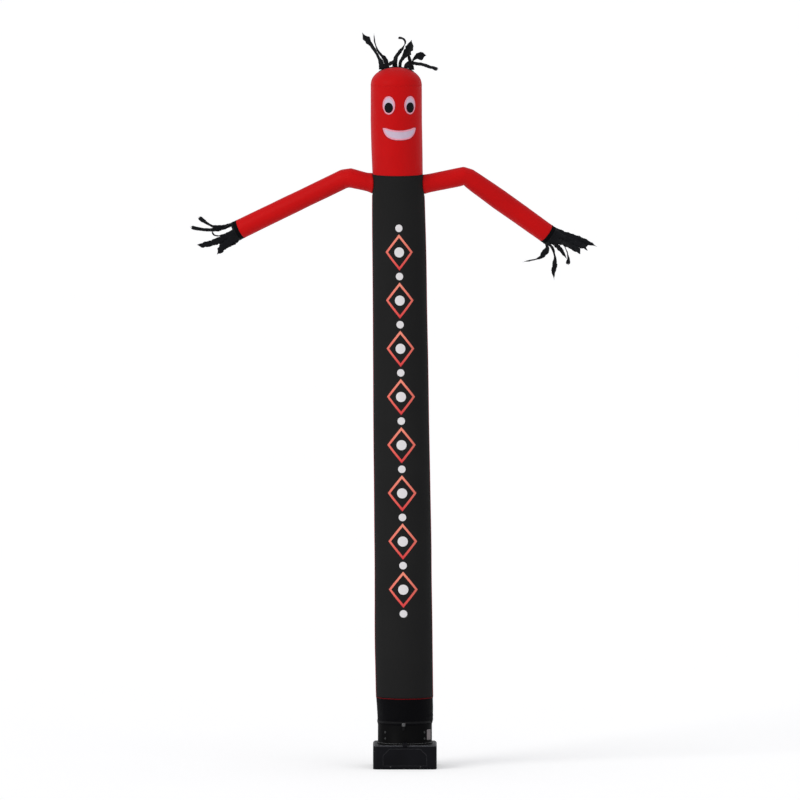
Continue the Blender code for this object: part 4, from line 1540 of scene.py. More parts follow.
class Tip(Enum):
    """How a ribbon's end is cut."""

    POINT = 0
    SLANT = 1
    FORK = 2
    ROUND = 3


@dataclass(frozen=True)
class Ribbon:
    """One ribbon of the hands or the hair. The headings are degrees anticlockwise from +X as seen
    from the front, and the rolls turn the flat side away from the front, both at even places."""

    root: float
    depth: float
    length: float
    width: float
    lean: float
    headings: tuple[float, ...]
    rolls: tuple[float, ...]
    tip: Tip
    widths: tuple[float, ...] = (0.9, 1.0, 0.95, 1.05, 1.0, 0.8)
    curl: float = 0.16
    tear: float = 0.34

    def frames(
        self, root: Vector, first_roll: float, lead: Vector, steps: int
    ) -> list[tuple[Vector, Vector, Vector, Vector]]:
        """Follows the ribbon's middle line.

        Args:
            root: Where the ribbon starts.
            first_roll: The roll at the root in degrees.
            lead: The direction in which it leaves its root.
            steps: The number of steps.

        Returns:
            For each step its place, run, across and through directions.
        """
        marks = np.linspace(0.0, 1.0, len(self.headings))
        second = self.rolls[1]
        rolls = (second + (first_roll - second + 90.0) % 180.0 - 90.0, *self.rolls[1:])
        lean = math.radians(self.lean)
        place, found = root.copy(), []
        for index in range(steps + 1):
            share = index / steps
            heading = math.radians(float(np.interp(share, marks, self.headings)))
            roll = math.radians(float(np.interp(share, marks, rolls)))
            away = min(1.0, share * 4.0)
            level = math.cos(lean)
            run = Vector((math.cos(heading) * level, math.sin(lean), math.sin(heading) * level))
            run = lead.lerp(run, away).normalized()
            side = run.cross(Vector((0.0, 1.0, 0.0))).normalized()
            across = side * math.cos(roll) + side.cross(run) * math.sin(roll)
            found.append((place.copy(), run, across, run.cross(across)))
            place = place + run * (self.length / steps)
        return found

    def cut(self, across: float) -> float:
        """How much of the length the end keeps at a place across it, from -1 to 1."""
        if self.tip is Tip.POINT:
            return 1.0 - 0.16 * abs(across - 0.2)
        if self.tip is Tip.SLANT:
            return 1.0 - 0.10 * (across + 1.0) / 2
        if self.tip is Tip.FORK:
            return 1.0 - 0.09 * (1.0 - abs(across)) - 0.05 * max(0.0, across)
        return 1.0 - 0.02 * math.cos(2.5 * across)

    def strip(self, root: Vector, first_roll: float, lead: Vector, seed: float) -> bmesh.types.BMesh:
        """The ribbon's sheet.

        Args:
            root: Where the ribbon starts.
            first_roll: The roll at the root in degrees.
            lead: The direction in which it leaves its root.
            seed: A number that makes its crumples its own.

        Returns:
            The bmesh.
        """
        steps = 56
        frames = self.frames(root, first_roll, lead, steps)
        marks = np.linspace(0.0, 1.0, len(self.widths))

        def place(side: float, up: float) -> Vector:
            """The ribbon's point at the shares across and along."""
            across = 2 * side - 1
            far = up * (1.0 - (1.0 - self.cut(across)) * up**4)
            index = min(int(far * steps), steps - 1)
            share = far * steps - index
            here, ahead = frames[index], frames[index + 1]
            point, run, wide, through = (a.lerp(b, share) for a, b in zip(here, ahead))
            width = self.width * float(np.interp(far, marks, self.widths))
            edge = math.copysign(4.0, across)
            torn = noise.noise(Vector((far * 12.0, edge, seed)))
            torn += 0.5 * noise.noise(Vector((far * 38.0, edge, seed)))
            ragged = 1.0 + self.tear * torn * abs(across)
            if self.tip is Tip.POINT:
                width *= 1.0 - 0.75 * max(0.0, far - 0.8) / 0.2
            if self.tip is Tip.ROUND:
                width *= math.sqrt(max(0.06, 1.0 - (max(0.0, far - 0.94) / 0.06) ** 2))
                ragged = 1.0 + (ragged - 1.0) * min(1.0, (1.0 - far) * 4.0)
            bend = self.curl * width * (across * across - 0.33) * math.sin(5.0 * far + seed)
            crumple = 0.0045 * noise.noise(Vector((far * 11.0, across * 1.6, seed + 9.0)))
            crumple += 0.0018 * noise.noise(Vector((far * 34.0, across * 3.5, seed + 3.0)))
            fade = min(1.0, far * 6.0)
            ragged = 1.0 + (ragged - 1.0) * fade
            return point + wide * (across * width / 2 * ragged) + through * ((bend + crumple) * fade)

        return mapped_grid(7, steps, place, self.width, self.length, (seed, 0.0))


LEFT_HAND = (
    Ribbon(
        80, 0.0, 0.330, 0.046, 4, (200, 186, 150, 142), (60, 20, 50, 10),
        Tip.ROUND, (1, 0.9, 0.7, 0.7, 0.7, 0.9, 0.9),
    ),
    Ribbon(
        125, 0.0, 0.414, 0.050, 14, (201, 197, 176, 164), (60, 10, 20, 10),
        Tip.ROUND, (1, 1.0, 1.0, 0.85, 0.65, 0.6, 0.7, 0.8),
    ),
    Ribbon(
        0, 0.0, 0.365, 0.060, -4, (208, 204, 196, 192), (0, 20, 15, 10),
        Tip.SLANT, (1.2, 1.1, 1.1, 1.0, 0.85, 0.55),
    ),
    Ribbon(
        -30, 0.0, 0.255, 0.066, -12, (209, 217, 226, 236), (-20, 0, 5, 20),
        Tip.POINT, (1.2, 1.1, 1.0, 1.0, 0.9, 0.6),
    ),
    Ribbon(-80, 0.0, 0.185, 0.042, 0, (206, 204, 207, 222), (-60, -20, 10, -30), Tip.SLANT),
    Ribbon(-130, 0.0, 0.225, 0.040, 12, (208, 205, 196, 190), (-60, -40, -55, -30), Tip.SLANT),
    Ribbon(
        180, 0.0, 0.290, 0.038, 24, (206, 202, 190, 125), (0, 30, 45, 30),
        Tip.SLANT, (1, 0.9, 0.8, 0.6, 0.4, 0.8),
    ),
)
RIGHT_HAND = (
    Ribbon(
        72, 0.0, 0.415, 0.054, 2, (-36, -16, -22, -27), (50, 20, 10, 30),
        Tip.POINT, (1, 1.1, 1.1, 1.0, 0.8, 0.6),
    ),
    Ribbon(
        35, 0.0, 0.345, 0.054, -8, (-31, -19, -22, -24), (30, 10, 15, 10),
        Tip.FORK, (1.2, 1.2, 1.1, 1.05, 1.0, 0.8),
    ),
    Ribbon(
        5, 0.0, 0.306, 0.058, -14, (-30, -19, -24, -30), (0, 10, 15, 5),
        Tip.SLANT, (1.2, 1.0, 0.85, 0.9, 0.95, 0.9),
    ),
    Ribbon(
        -95, 0.0, 0.335, 0.056, 4, (-120, -128, -172, -162), (-40, 0, 66, 60),
        Tip.POINT, (0.8, 1.0, 0.9, 0.35, 0.65, 0.3),
    ),
    Ribbon(
        -45, 0.0, 0.372, 0.044, -6, (-52, -81, -102, -77), (-50, -55, 10, 60),
        Tip.POINT, (1, 0.9, 0.6, 1.1, 0.9, 0.4),
    ),
    Ribbon(
        -20, 0.0, 0.240, 0.040, -8, (-32, -42, -58, -56), (-20, -15, 30, 60),
        Tip.POINT, (1.2, 1.1, 1.0, 0.8, 0.6),
    ),
    Ribbon(
        150, 0.0, 0.400, 0.038, 22, (-46, -60, -70, -104), (10, 50, 82, 15),
        Tip.ROUND, (1, 0.8, 0.6, 0.5, 0.8, 1.25),
    ),
)
HAIR = (
    Ribbon(
        -0.130, 0.008, 0.418, 0.058, 6, (112, 118, 132, 112), (0, 58, 35, 12),
        Tip.POINT, (1, 0.9, 0.8, 0.7, 0.8, 1.4, 1.3),
    ),
    Ribbon(
        -0.088, -0.012, 0.385, 0.048, -12, (98, 136, 104, 92), (5, 20, 62, 70),
        Tip.FORK, (1, 0.9, 0.6, 0.5, 0.45, 0.4),
    ),
    Ribbon(
        -0.012, 0.014, 0.356, 0.048, 14, (88, 52, 60, 215), (15, 45, 55, 50),
        Tip.ROUND, (1, 0.9, 1.0, 0.9, 0.3, 0.7, 0.9),
    ),
    Ribbon(-0.080, -0.010, 0.130, 0.036, -10, (74, 40, 24, 20), (5, 20, 40, 50), Tip.SLANT),
    Ribbon(
        0.034, 0.010, 0.300, 0.060, 4, (66, 50, 64, 84), (50, 10, 8, 20),
        Tip.POINT, (0.5, 0.5, 0.6, 1.1, 1.3, 1.1, 1.0),
    ),
    Ribbon(0.130, -0.014, 0.180, 0.034, -8, (80, 96, 108, 112), (20, 25, 30, 40), Tip.SLANT),
    Ribbon(
        0.136, 0.012, 0.256, 0.060, 16, (88, 66, 8, 4), (45, 50, 10, 5),
        Tip.POINT, (1, 0.7, 0.4, 0.5, 1.1, 1.25, 1.0),
    ),
    Ribbon(
        0.092, -0.002, 0.350, 0.046, -4, (-28, -4, -16, -19), (50, 45, 42, 40),
        Tip.ROUND, (1, 1.0, 0.8, 0.8, 0.8, 0.9),
    ),
)


def joined(name: str, shapes: list[bmesh.types.BMesh], finish: Finish, thickness: float) -> bpy.types.Object:
    """One piece from several sheets.

    Args:
        name: The piece's name.
        shapes: The sheets' bmeshes, which are freed.
        finish: The piece's finish.
        thickness: The cloth's thickness.

    Returns:
        The piece's object.
    """
    whole = bmesh.new()
    for shape in shapes:
        mesh = bpy.data.meshes.new("part")
        shape.to_mesh(mesh)
        shape.free()
        whole.from_mesh(mesh)
        bpy.data.meshes.remove(mesh)
    return thicken(finish_piece(name, whole, finish, 60.0), thickness)


@dataclass
class Hand:
    """A wrist's black cuff, and past it the rim with the hand's ribbons."""

    line: ArmLine
    ribbons: tuple[Ribbon, ...]
    cuff_length: float = 0.040
    rim: float = 0.014
    overlap: float = 0.005
    taper: float = 0.99

    def wrist_ring(self, out: float) -> Matrix:
        """The ring's matrix at a distance past the wrist."""
        run = self.line.runs[-1]
        radius = self.line.radii[-1] * (1.0 - (1.0 - self.taper) * out / self.cuff_length)
        return self.line.ring(self.line.wrist + run * out, run, run, radius)

    def band(self, start: float, end: float, proud: float) -> bmesh.types.BMesh:
        """A band of cloth round the wrist's line.

        Args:
            start: Where it starts past the wrist.
            end: Where it ends.
            proud: How far outside the cuff's own line it lies.

        Returns:
            The bmesh, facing out.
        """

        def place(side: float, up: float) -> Vector:
            """The band at the shares round and along."""
            angle = 2 * math.pi * side
            out = start + (end - start) * up
            ring = self.wrist_ring(out)
            unit = Vector((math.cos(angle), math.sin(angle), 0.0))
            crumple = 0.010 * math.sin(11 * angle + 2.0 * math.sin(2 * angle)) * (0.3 + 0.7 * up)
            crumple += 0.018 * noise.noise(Vector((unit.x * 2.4, unit.y * 2.4, out * 30.0)))
            return ring @ (unit * (1.004 + crumple) + unit * proud / self.line.radii[-1])

        around = 2 * math.pi * self.line.radii[-1]
        shape = mapped_grid(72, max(4, round((end - start) / 0.005)), place, around, end - start)
        run = self.line.runs[-1]
        return face_outwards(shape, lambda point: self.line.wrist + run * (point - self.line.wrist).dot(run))

    def build(self) -> None:
        """Builds the cuff and the hand's ribbons."""
        word = self.line.side.word
        around = 2 * math.pi * self.line.radii[-1]
        cuff = joined(f"cuff_{word}_cloth", [self.band(0.0006, self.cuff_length, 0.0)], SLEEVE_NYLON, 0.0014)
        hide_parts(f"cuff_{word}")
        start = self.cuff_length + 0.0006
        shapes = [self.band(start - self.overlap, start + self.rim, 0.0022)]
        run = self.line.runs[-1]
        flip = self.line.side.value
        sunk = Matrix.Translation(-run * 0.008) @ self.wrist_ring(start + self.rim)
        area = around * self.rim
        for number, ribbon in enumerate(self.ribbons):
            angle = math.radians(-flip * ribbon.root)
            root = sunk @ (Vector((math.cos(angle), math.sin(angle), 0.0)) * 0.985)
            shapes.append(ribbon.strip(root, flip * ribbon.root, run, 3.1 * number + flip))
            area += ribbon.length * ribbon.width * 0.92
        made = joined(f"hand_{word}_ribbons", shapes, RIBBON_NYLON, 0.0012)
        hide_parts(f"hand_{word}")
        longest = max(ribbon.length for ribbon in self.ribbons)

        def line(share: float) -> tuple[Vector, Vector, Vector]:
            """The wrist stitches' point and directions at a share of the turn."""
            angle = 2 * math.pi * share
            ring = self.wrist_ring(0.006)
            point = ring @ (Vector((math.cos(angle), math.sin(angle), 0.0)) * 1.02)
            out = (point - ring.to_translation()).normalized()
            return point, out, run

        stitch_row(f"wrist_{word}_stitches", line, 84, (0.0045, 0.0012, 0.0008), BLACK_STITCH)


@dataclass
class Hair:
    """The crown's band with its ribbons."""

    head: Head
    reach: float = 0.160
    width: float = 0.048
    root_depth: float = 0.024

    def build(self) -> None:
        """Builds the band and its ribbons as one piece."""
        x, radius = Tube.middle(CROWN_SEAM)

        def on_crown(across: float, depth: float, proud: float) -> Vector:
            """A point over the crown, from its level offsets."""
            off = min(0.999, math.hypot(across, depth) / radius)
            height = (CROWN_RISE + proud) * math.sqrt(1.0 - off * off)
            return Vector((x + across, depth, CROWN_SEAM + height))

        def place(side: float, up: float) -> Vector:
            """The band at the shares across and along."""
            along, across = self.reach * (2 * side - 1), self.width * (up - 0.5)
            fold = 0.0014 * noise.noise(Vector((along * 40.0, across * 60.0, 4.0)))
            return on_crown(along, across, 0.0040 + fold)

        shapes = [mapped_grid(64, 8, place, 2 * self.reach, self.width)]
        face_outwards(shapes[0], lambda point: Vector((x, 0.0, CROWN_SEAM)))
        area = 2.1 * self.reach * self.width
        for number, ribbon in enumerate(HAIR):
            root = on_crown(ribbon.root, ribbon.depth, 0.0035)
            rise = Vector((0.0, 0.0, 1.0))
            start = replace(ribbon, length=ribbon.length - self.root_depth)
            shapes.append(start.strip(root, 0.0, rise, 2.7 * number + 0.4))
            area += start.length * ribbon.width * 0.92
        made = joined("hair_ribbons", shapes, RIBBON_NYLON, 0.0012)
        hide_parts("hair")


@dataclass
class Foot:
    """The foot sleeve with its gathers, the webbing strap and its buckle."""

    strap_bottom: float = 0.4122
    strap_top: float = 0.4318
    strap_radius: float = 0.2484
    tail_width: float = 0.020
    tail_length: float = 0.078
    buckle_x: float = -0.012
    buckle_z: float = 0.406
    buckle_side: float = 0.030
    tube: Tube = field(
        default_factory=lambda: Tube(
            0.400,
            HEM_MIDDLE - 0.0040,
            creases=(
                Crease(82, 0.432, 0, 0.260, 0.020, 0.0085),
                Crease(64, 0.474, 12, 0.200, 0.012, 0.0040),
                Crease(78, 0.505, -8, 0.180, 0.014, -0.0040),
                Crease(30, 0.462, 6, 0.160, 0.010, -0.0030),
                Crease(-36, 0.455, -6, 0.200, 0.009, 0.0030),
                Crease(-70, 0.475, 14, 0.160, 0.011, -0.0034),
                Crease(-14, 0.500, 70, 0.120, 0.010, 0.0026),
                Crease(20, 0.540, 98, 0.130, 0.011, -0.0026),
                Crease(-52, 0.540, 84, 0.140, 0.010, 0.0026),
                Crease(120, 0.470, 8, 0.220, 0.011, 0.0036),
                Crease(150, 0.520, 74, 0.160, 0.012, -0.0030),
                Crease(-120, 0.468, -10, 0.220, 0.011, 0.0036),
                Crease(-160, 0.530, 100, 0.150, 0.011, 0.0028),
            ),
            puckers=(Pucker(0.422, 38, 0.0012, 0.030), Pucker(0.640, 30, 0.0014, 0.022, 0.0006)),
            unevenness=0.0024,
        )
    )

    def build(self) -> None:
        """Builds the sleeve, the strap and the buckle."""
        shape = self.tube.sheet(160, 40, (-180.0, 180.0))
        sleeve = thicken(finish_piece("foot_sleeve_cloth", shape, SLEEVE_NYLON, 80.0), CLOTH_THICKNESS)
        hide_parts("foot_sleeve")
        self.strap()
        self.buckle()

    def strap(self) -> None:
        """Builds the webbing strap and its free tail."""
        out = 0.0031

        def place(side: float, up: float) -> Vector:
            """The strap at the shares round and up."""
            turn = 360.0 * side
            z = self.strap_bottom + (self.strap_top - self.strap_bottom) * up
            swell = 0.0006 * (1.0 - (2 * up - 1) ** 4)
            sag = 0.0010 * math.sin(math.radians(turn) * 2.0 + 0.7)
            radius = self.strap_radius + out + swell
            angle = math.radians(turn)
            return Vector((radius * math.sin(angle), -radius * math.cos(angle), z + sag))

        shape = mapped_grid(160, 6, place, 2 * math.pi * 0.251, self.strap_top - self.strap_bottom)
        face_outwards(shape, lambda point: Vector((0.0, 0.0, point.z)))
        front = -(self.strap_radius + out)

        def tail(side: float, up: float) -> Vector:
            """The strap's tail at the shares across and down."""
            far = self.tail_length * (1.0 - up)
            curl = 0.0012 * math.sin(3.0 * up) + 0.0022 * (1.0 - up) ** 2
            cut = 0.004 * (2 * side - 1) * (1.0 - up)
            x = self.buckle_x + self.tail_width * (side - 0.5)
            return Vector((x, front - 0.0012 - curl, self.strap_top - far + cut))

        free = mapped_grid(6, 24, tail, self.tail_width, self.tail_length)
        face_outwards(free, lambda point: Vector((0.0, 0.0, point.z)))
        made = joined("strap_webbing", [shape, free], WEBBING, 0.0018)
        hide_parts("strap")

    def buckle(self) -> None:
        """Builds the buckle's frame, its middle bar and its press."""
        face = -(self.strap_radius + 0.0025 + 0.0013)
        middle = (self.buckle_x, face - 0.0045, self.buckle_z)
        shape = box_shape((self.buckle_side, 0.0050, self.buckle_side), middle)
        front = [side for side in shape.faces if abs(side.normal.y) > 0.9]
        bmesh.ops.inset_individual(shape, faces=front, thickness=0.0055, depth=0.0)
        facing = [side for side in shape.faces if abs(side.normal.y) > 0.9]
        inner = sorted(facing, key=lambda side: side.calc_area())[-2:]
        bmesh.ops.bridge_loops(shape, edges=[edge for side in inner for edge in side.edges])
        bmesh.ops.delete(shape, geom=[side for side in inner if side.is_valid], context="FACES_ONLY")
        corners = [edge for edge in shape.edges if edge.is_manifold and edge.calc_face_angle(0.0) > 0.5]
        round_edges(shape, corners, 0.0012, 3)
        x, y, z = middle
        bar = box_shape((self.buckle_side - 0.002, 0.0042, 0.0090), (x, y - 0.0006, z + 0.001))
        round_edges(bar, bar.edges[:], 0.0016, 3)
        press = box_shape((self.buckle_side * 0.52, 0.0048, 0.0150), (x, y - 0.0018, z - 0.002))
        round_edges(press, press.edges[:], 0.0018, 3)
        made = None
        for name, part in (("frame", shape), ("bar", bar), ("press", press)):
            bmesh.ops.recalc_face_normals(part, faces=part.faces[:])
            mark_wear(part)
            piece = finish_piece(f"buckle_{name}", part, DULL_STEEL)
            made = made or piece
        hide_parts("strap_buckle")


@dataclass
class Blower:
    """The blower's housing, outlet ring, bolts, plate and latch."""

    size: tuple[float, float, float] = (0.580, 0.580, 0.218)
    shoulder: float = 0.024
    corner: float = 0.040
    undercut: float = 0.006
    panel_half: float = 0.200
    panel_bottom: float = 0.032
    panel_top: float = 0.188
    panel_corner: float = 0.060
    panel_depth: float = 0.0035
    ring_radius: float = 0.2460
    ring_wall: float = 0.005
    ring_top: float = 0.500
    flange_radius: float = 0.253
    flange_height: float = 0.012
    bolt_turn: float = 46.0
    bolt_levels: tuple[float, float] = (0.330, 0.2735)
    plate_turns: tuple[float, float] = (54.0, 71.0)
    plate_levels: tuple[float, float] = (0.257, 0.353)

    def build(self) -> None:
        """Builds every piece of the blower."""
        self.housing()
        self.ring()
        number = 0
        for sign in (-1.0, 1.0):
            for z in self.bolt_levels:
                number += 1
                self.bolt(f"ring_bolt_{number}", sign * self.bolt_turn, z)
        self.plate()
        for x in (-0.131, 0.142):
            self.screw("left" if x < 0 else "right", x)
        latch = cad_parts["base_latch"]
        latch.data.materials.clear()
        latch.data.materials.append(HOUSING.material())

    def housing(self) -> None:
        """Builds the moulded housing with its sunk front panel and the groove above its skirt."""
        wide, deep, high = self.size
        shape = box_shape(self.size, (0.0, 0.0, high / 2))

        def edges(test: Callable[[float, float], bool]) -> list:
            """The edges whose ends' heights pass a test."""
            return [edge for edge in shape.edges if test(*[vert.co.z for vert in edge.verts])]

        round_edges(shape, edges(lambda a, b: abs(a - b) > high / 2), self.corner, 10)
        round_edges(shape, edges(lambda a, b: min(a, b) > high * 0.999), self.shoulder, 8)
        round_edges(shape, edges(lambda a, b: max(a, b) < high * 0.001), self.undercut, 2)
        groove = (0.0145, 0.0170)
        for z in groove:
            everything = shape.verts[:] + shape.edges[:] + shape.faces[:]
            bmesh.ops.bisect_plane(shape, geom=everything, plane_co=(0.0, 0.0, z), plane_no=(0.0, 0.0, 1.0))
        shape.normal_update()
        low, top = groove
        upright = [side for side in shape.faces if abs(side.normal.z) < 0.5]
        band = [side for side in upright if low < side.calc_center_median().z < top]
        bmesh.ops.inset_region(shape, faces=band, thickness=0.0004, depth=-0.0022)
        self.sink_panel(shape, -deep / 2)
        bmesh.ops.remove_doubles(shape, verts=shape.verts[:], dist=1e-6)
        bmesh.ops.recalc_face_normals(shape, faces=shape.faces[:])

        def highlight_at(point: Vector) -> float:
            """The painted highlight along the shoulder's bend and on the sunk panel's raised edge."""
            if point.y < -deep / 2 - 0.0004:
                return 0.5
            return math.exp(-(((point.z - high + 0.0036) / 0.0024) ** 2))

        # Painted highlight: lightens the shoulder's bend fully and the panel's raised edge by half.
        mark_painted_highlight(shape, highlight_at)
        made = finish_piece("housing_shell", shape, HOUSING, 35.0)
        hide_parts("blower_base")

    def sink_panel(self, shape: bmesh.types.BMesh, front: float) -> None:
        """Sinks the panel with slanted upper corners into the housing's front.

        Args:
            shape: The housing's bmesh.
            front: The front face's place along Y.
        """
        slant = Vector((1.0, 0.0, 1.0)).normalized()
        cuts = [
            (Vector((sign * self.panel_half, 0.0, 0.0)), Vector((sign, 0.0, 0.0))) for sign in (-1.0, 1.0)
        ]
        cuts += [
            (Vector((0.0, 0.0, self.panel_bottom)), Vector((0.0, 0.0, -1.0))),
            (Vector((0.0, 0.0, self.panel_top)), Vector((0.0, 0.0, 1.0))),
        ]
        for sign in (-1.0, 1.0):
            corner = Vector((sign * (self.panel_half - self.panel_corner), 0.0, self.panel_top))
            cuts.append((corner, Vector((sign * slant.x, 0.0, slant.z))))

        def on_front(side: bmesh.types.BMFace) -> bool:
            """Whether a face lies in the housing's flat front."""
            return side.normal.y < -0.999 and abs(side.calc_center_median().y - front) < 1e-5

        for place, normal in cuts:
            faces = [side for side in shape.faces if on_front(side) and side.calc_center_median().z > 0.017]
            geometry = faces + list({edge for side in faces for edge in side.edges})
            geometry += list({vert for side in faces for vert in side.verts})
            bmesh.ops.bisect_plane(shape, geom=geometry, plane_co=place, plane_no=normal)
            shape.normal_update()

        def in_panel(side: bmesh.types.BMFace) -> bool:
            """Whether a face lies inside every cut."""
            centre = side.calc_center_median()
            return all((centre - place).dot(normal) < 0.0 for place, normal in cuts)

        inner = [side for side in shape.faces if on_front(side) and in_panel(side)]
        bmesh.ops.inset_region(shape, faces=inner, thickness=0.0015, depth=0.0008)
        bmesh.ops.inset_region(shape, faces=inner, thickness=0.0020, depth=-0.0008)
        bmesh.ops.inset_region(shape, faces=inner, thickness=0.0030, depth=-self.panel_depth)

    def ring(self) -> None:
        """Builds the outlet ring with its rolled flange."""
        foot = self.size[2] + 0.0003
        top = foot + self.flange_height
        outline = (
            (self.ring_radius - self.ring_wall, foot),
            (self.flange_radius, foot),
            (self.flange_radius + 0.0006, foot + 0.004),
            (self.flange_radius, top - 0.002),
            (self.flange_radius - 0.003, top),
            (self.ring_radius + 0.002, top + 0.001),
            (self.ring_radius, top + 0.004),
            (self.ring_radius, self.ring_top - 0.002),
            (self.ring_radius - 0.002, self.ring_top),
            (self.ring_radius - self.ring_wall, self.ring_top),
            (self.ring_radius - self.ring_wall, foot),
        )
        shape = bmesh.new()
        verts = [shape.verts.new((radius, 0.0, z)) for radius, z in outline]
        loop = [shape.edges.new(pair) for pair in zip(verts, verts[1:])]
        bmesh.ops.spin(
            shape,
            geom=verts + loop,
            cent=(0.0, 0.0, 0.0),
            axis=(0.0, 0.0, 1.0),
            angle=2 * math.pi,
            steps=112,
            use_merge=True,
        )
        bmesh.ops.remove_doubles(shape, verts=shape.verts[:], dist=1e-5)
        bmesh.ops.recalc_face_normals(shape, faces=shape.faces[:])

        def highlight_at(point: Vector) -> float:
            """The painted highlight on the flange's upper edge."""
            on_edge = abs(point.z - top) < 0.0005 and math.hypot(point.x, point.y) > self.ring_radius + 0.003
            return 1.0 if on_edge else 0.0

        # Painted highlight along the flange's upper edge.
        mark_painted_highlight(shape, highlight_at)
        made = finish_piece("outlet_ring_shell", shape, RING_PLASTIC, 35.0)
        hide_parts("outlet_ring")

    def turned_to(self, turn: float, z: float, out: float) -> Matrix:
        """The matrix that stands a piece on the ring, its own +Z facing outwards."""
        away = Tube.outward(turn)
        aside = Vector((0.0, 0.0, 1.0)).cross(away)
        place = away * out + Vector((0.0, 0.0, z))
        columns = (aside, Vector((0.0, 0.0, 1.0)), away, place)
        return Matrix([[column[row] for column in columns] for row in range(3)] + [[0.0, 0.0, 0.0, 1.0]])

    def button(self, steps: int, radius: float, height: float, slot: float) -> bmesh.types.BMesh:
        """A round head with a washer's step and a socket in its top.

        Args:
            steps: The number of sides.
            radius: The washer's radius.
            height: The whole height.
            slot: The socket's radius.

        Returns:
            The bmesh, standing on the level plane.
        """
        shape = bmesh.new()
        washer = {"radius1": radius, "radius2": radius, "depth": height * 0.3}
        bmesh.ops.create_cone(shape, cap_ends=True, segments=steps, **washer)
        bmesh.ops.translate(shape, vec=(0.0, 0.0, height * 0.15), verts=shape.verts[:])
        for inset, depth in (
            (radius * 0.22, 0.0),
            (radius * 0.05, height * 0.45),
            (radius * 0.20, height * 0.25),
            (radius * 0.53 - slot, 0.0),
            (slot * 0.15, -height * 0.4),
        ):
            top = max(shape.faces, key=lambda side: side.calc_center_median().z + side.calc_area())
            bmesh.ops.inset_region(shape, faces=[top], thickness=inset, depth=depth)
        bmesh.ops.recalc_face_normals(shape, faces=shape.faces[:])
        return shape

    def bolt(self, name: str, turn: float, z: float) -> None:
        """Builds a bolt's head on the ring.

        Args:
            name: The CAD node's name.
            turn: Its turn in degrees.
            z: Its height.
        """
        shape = self.button(24, 0.0105, 0.0068, 0.0026)
        place = self.turned_to(turn, z, self.ring_radius + 0.0002)
        bmesh.ops.transform(shape, matrix=place, verts=shape.verts[:])
        bmesh.ops.recalc_face_normals(shape, faces=shape.faces[:])
        mark_wear(shape)
        made = finish_piece(f"{name}_head", shape, DARK_STEEL, 30.0)
        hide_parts(name)

    def screw(self, word: str, x: float) -> None:
        """Builds a small screw low on the housing's front.

        Args:
            word: Left or right.
            x: Its sideways place.
        """
        shape = self.button(16, 0.0062, 0.0030, 0.0016)
        turned = Matrix.Rotation(math.pi / 2, 4, "X")
        place = Matrix.Translation((x, -self.size[1] / 2 - 0.0001, 0.0245)) @ turned
        bmesh.ops.transform(shape, matrix=place, verts=shape.verts[:])
        bmesh.ops.recalc_face_normals(shape, faces=shape.faces[:])
        mark_wear(shape)
        finish_piece(f"housing_screw_{word}", shape, DARK_STEEL, 30.0)

    def plate(self) -> None:
        """Builds the bare plate on the ring, bent to it, with a raised edge and two rivets."""
        low, high = self.plate_levels
        first, last = self.plate_turns
        out = self.ring_radius + 0.0012
        width = math.radians(last - first) * out

        def place(side: float, up: float) -> Vector:
            """The plate at the shares across and up, with rounded corners."""
            x, y = (side - 0.5) * width, (up - 0.5) * (high - low)
            corner = 0.008
            over_x, over_y = abs(x) - (width / 2 - corner), abs(y) - ((high - low) / 2 - corner)
            if over_x > 0 and over_y > 0:
                reach = max(over_x, over_y)
                scale = reach / math.hypot(over_x, over_y)
                x = math.copysign(width / 2 - corner + over_x * scale, x)
                y = math.copysign((high - low) / 2 - corner + over_y * scale, y)
            edge = max(abs(x) / (width / 2), abs(y) / ((high - low) / 2))
            raised = 0.0006 * max(0.0, min(1.0, (edge - 0.86) / 0.06))
            turn = (first + last) / 2 + math.degrees(x / out)
            return Tube.outward(turn) * (out + raised) + Vector((0.0, 0.0, (low + high) / 2 + y))

        shape = mapped_grid(28, 30, place, width, high - low)
        face_outwards(shape, lambda point: Vector((0.0, 0.0, point.z)))
        made = finish_piece("ring_plate_sheet", shape, PLATE_FOIL, 30.0)
        thicken(made, 0.0008)
        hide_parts("ring_plate")
        for word, z in (("low", low + 0.010), ("high", high - 0.010)):
            rivet = self.button(14, 0.0035, 0.0020, 0.0010)
            turned = self.turned_to((first + last) / 2, z, out + 0.0001)
            bmesh.ops.transform(rivet, matrix=turned, verts=rivet.verts[:])
            bmesh.ops.recalc_face_normals(rivet, faces=rivet.faces[:])
            mark_wear(rivet)
            finish_piece(f"plate_rivet_{word}", rivet, DULL_STEEL, 30.0)


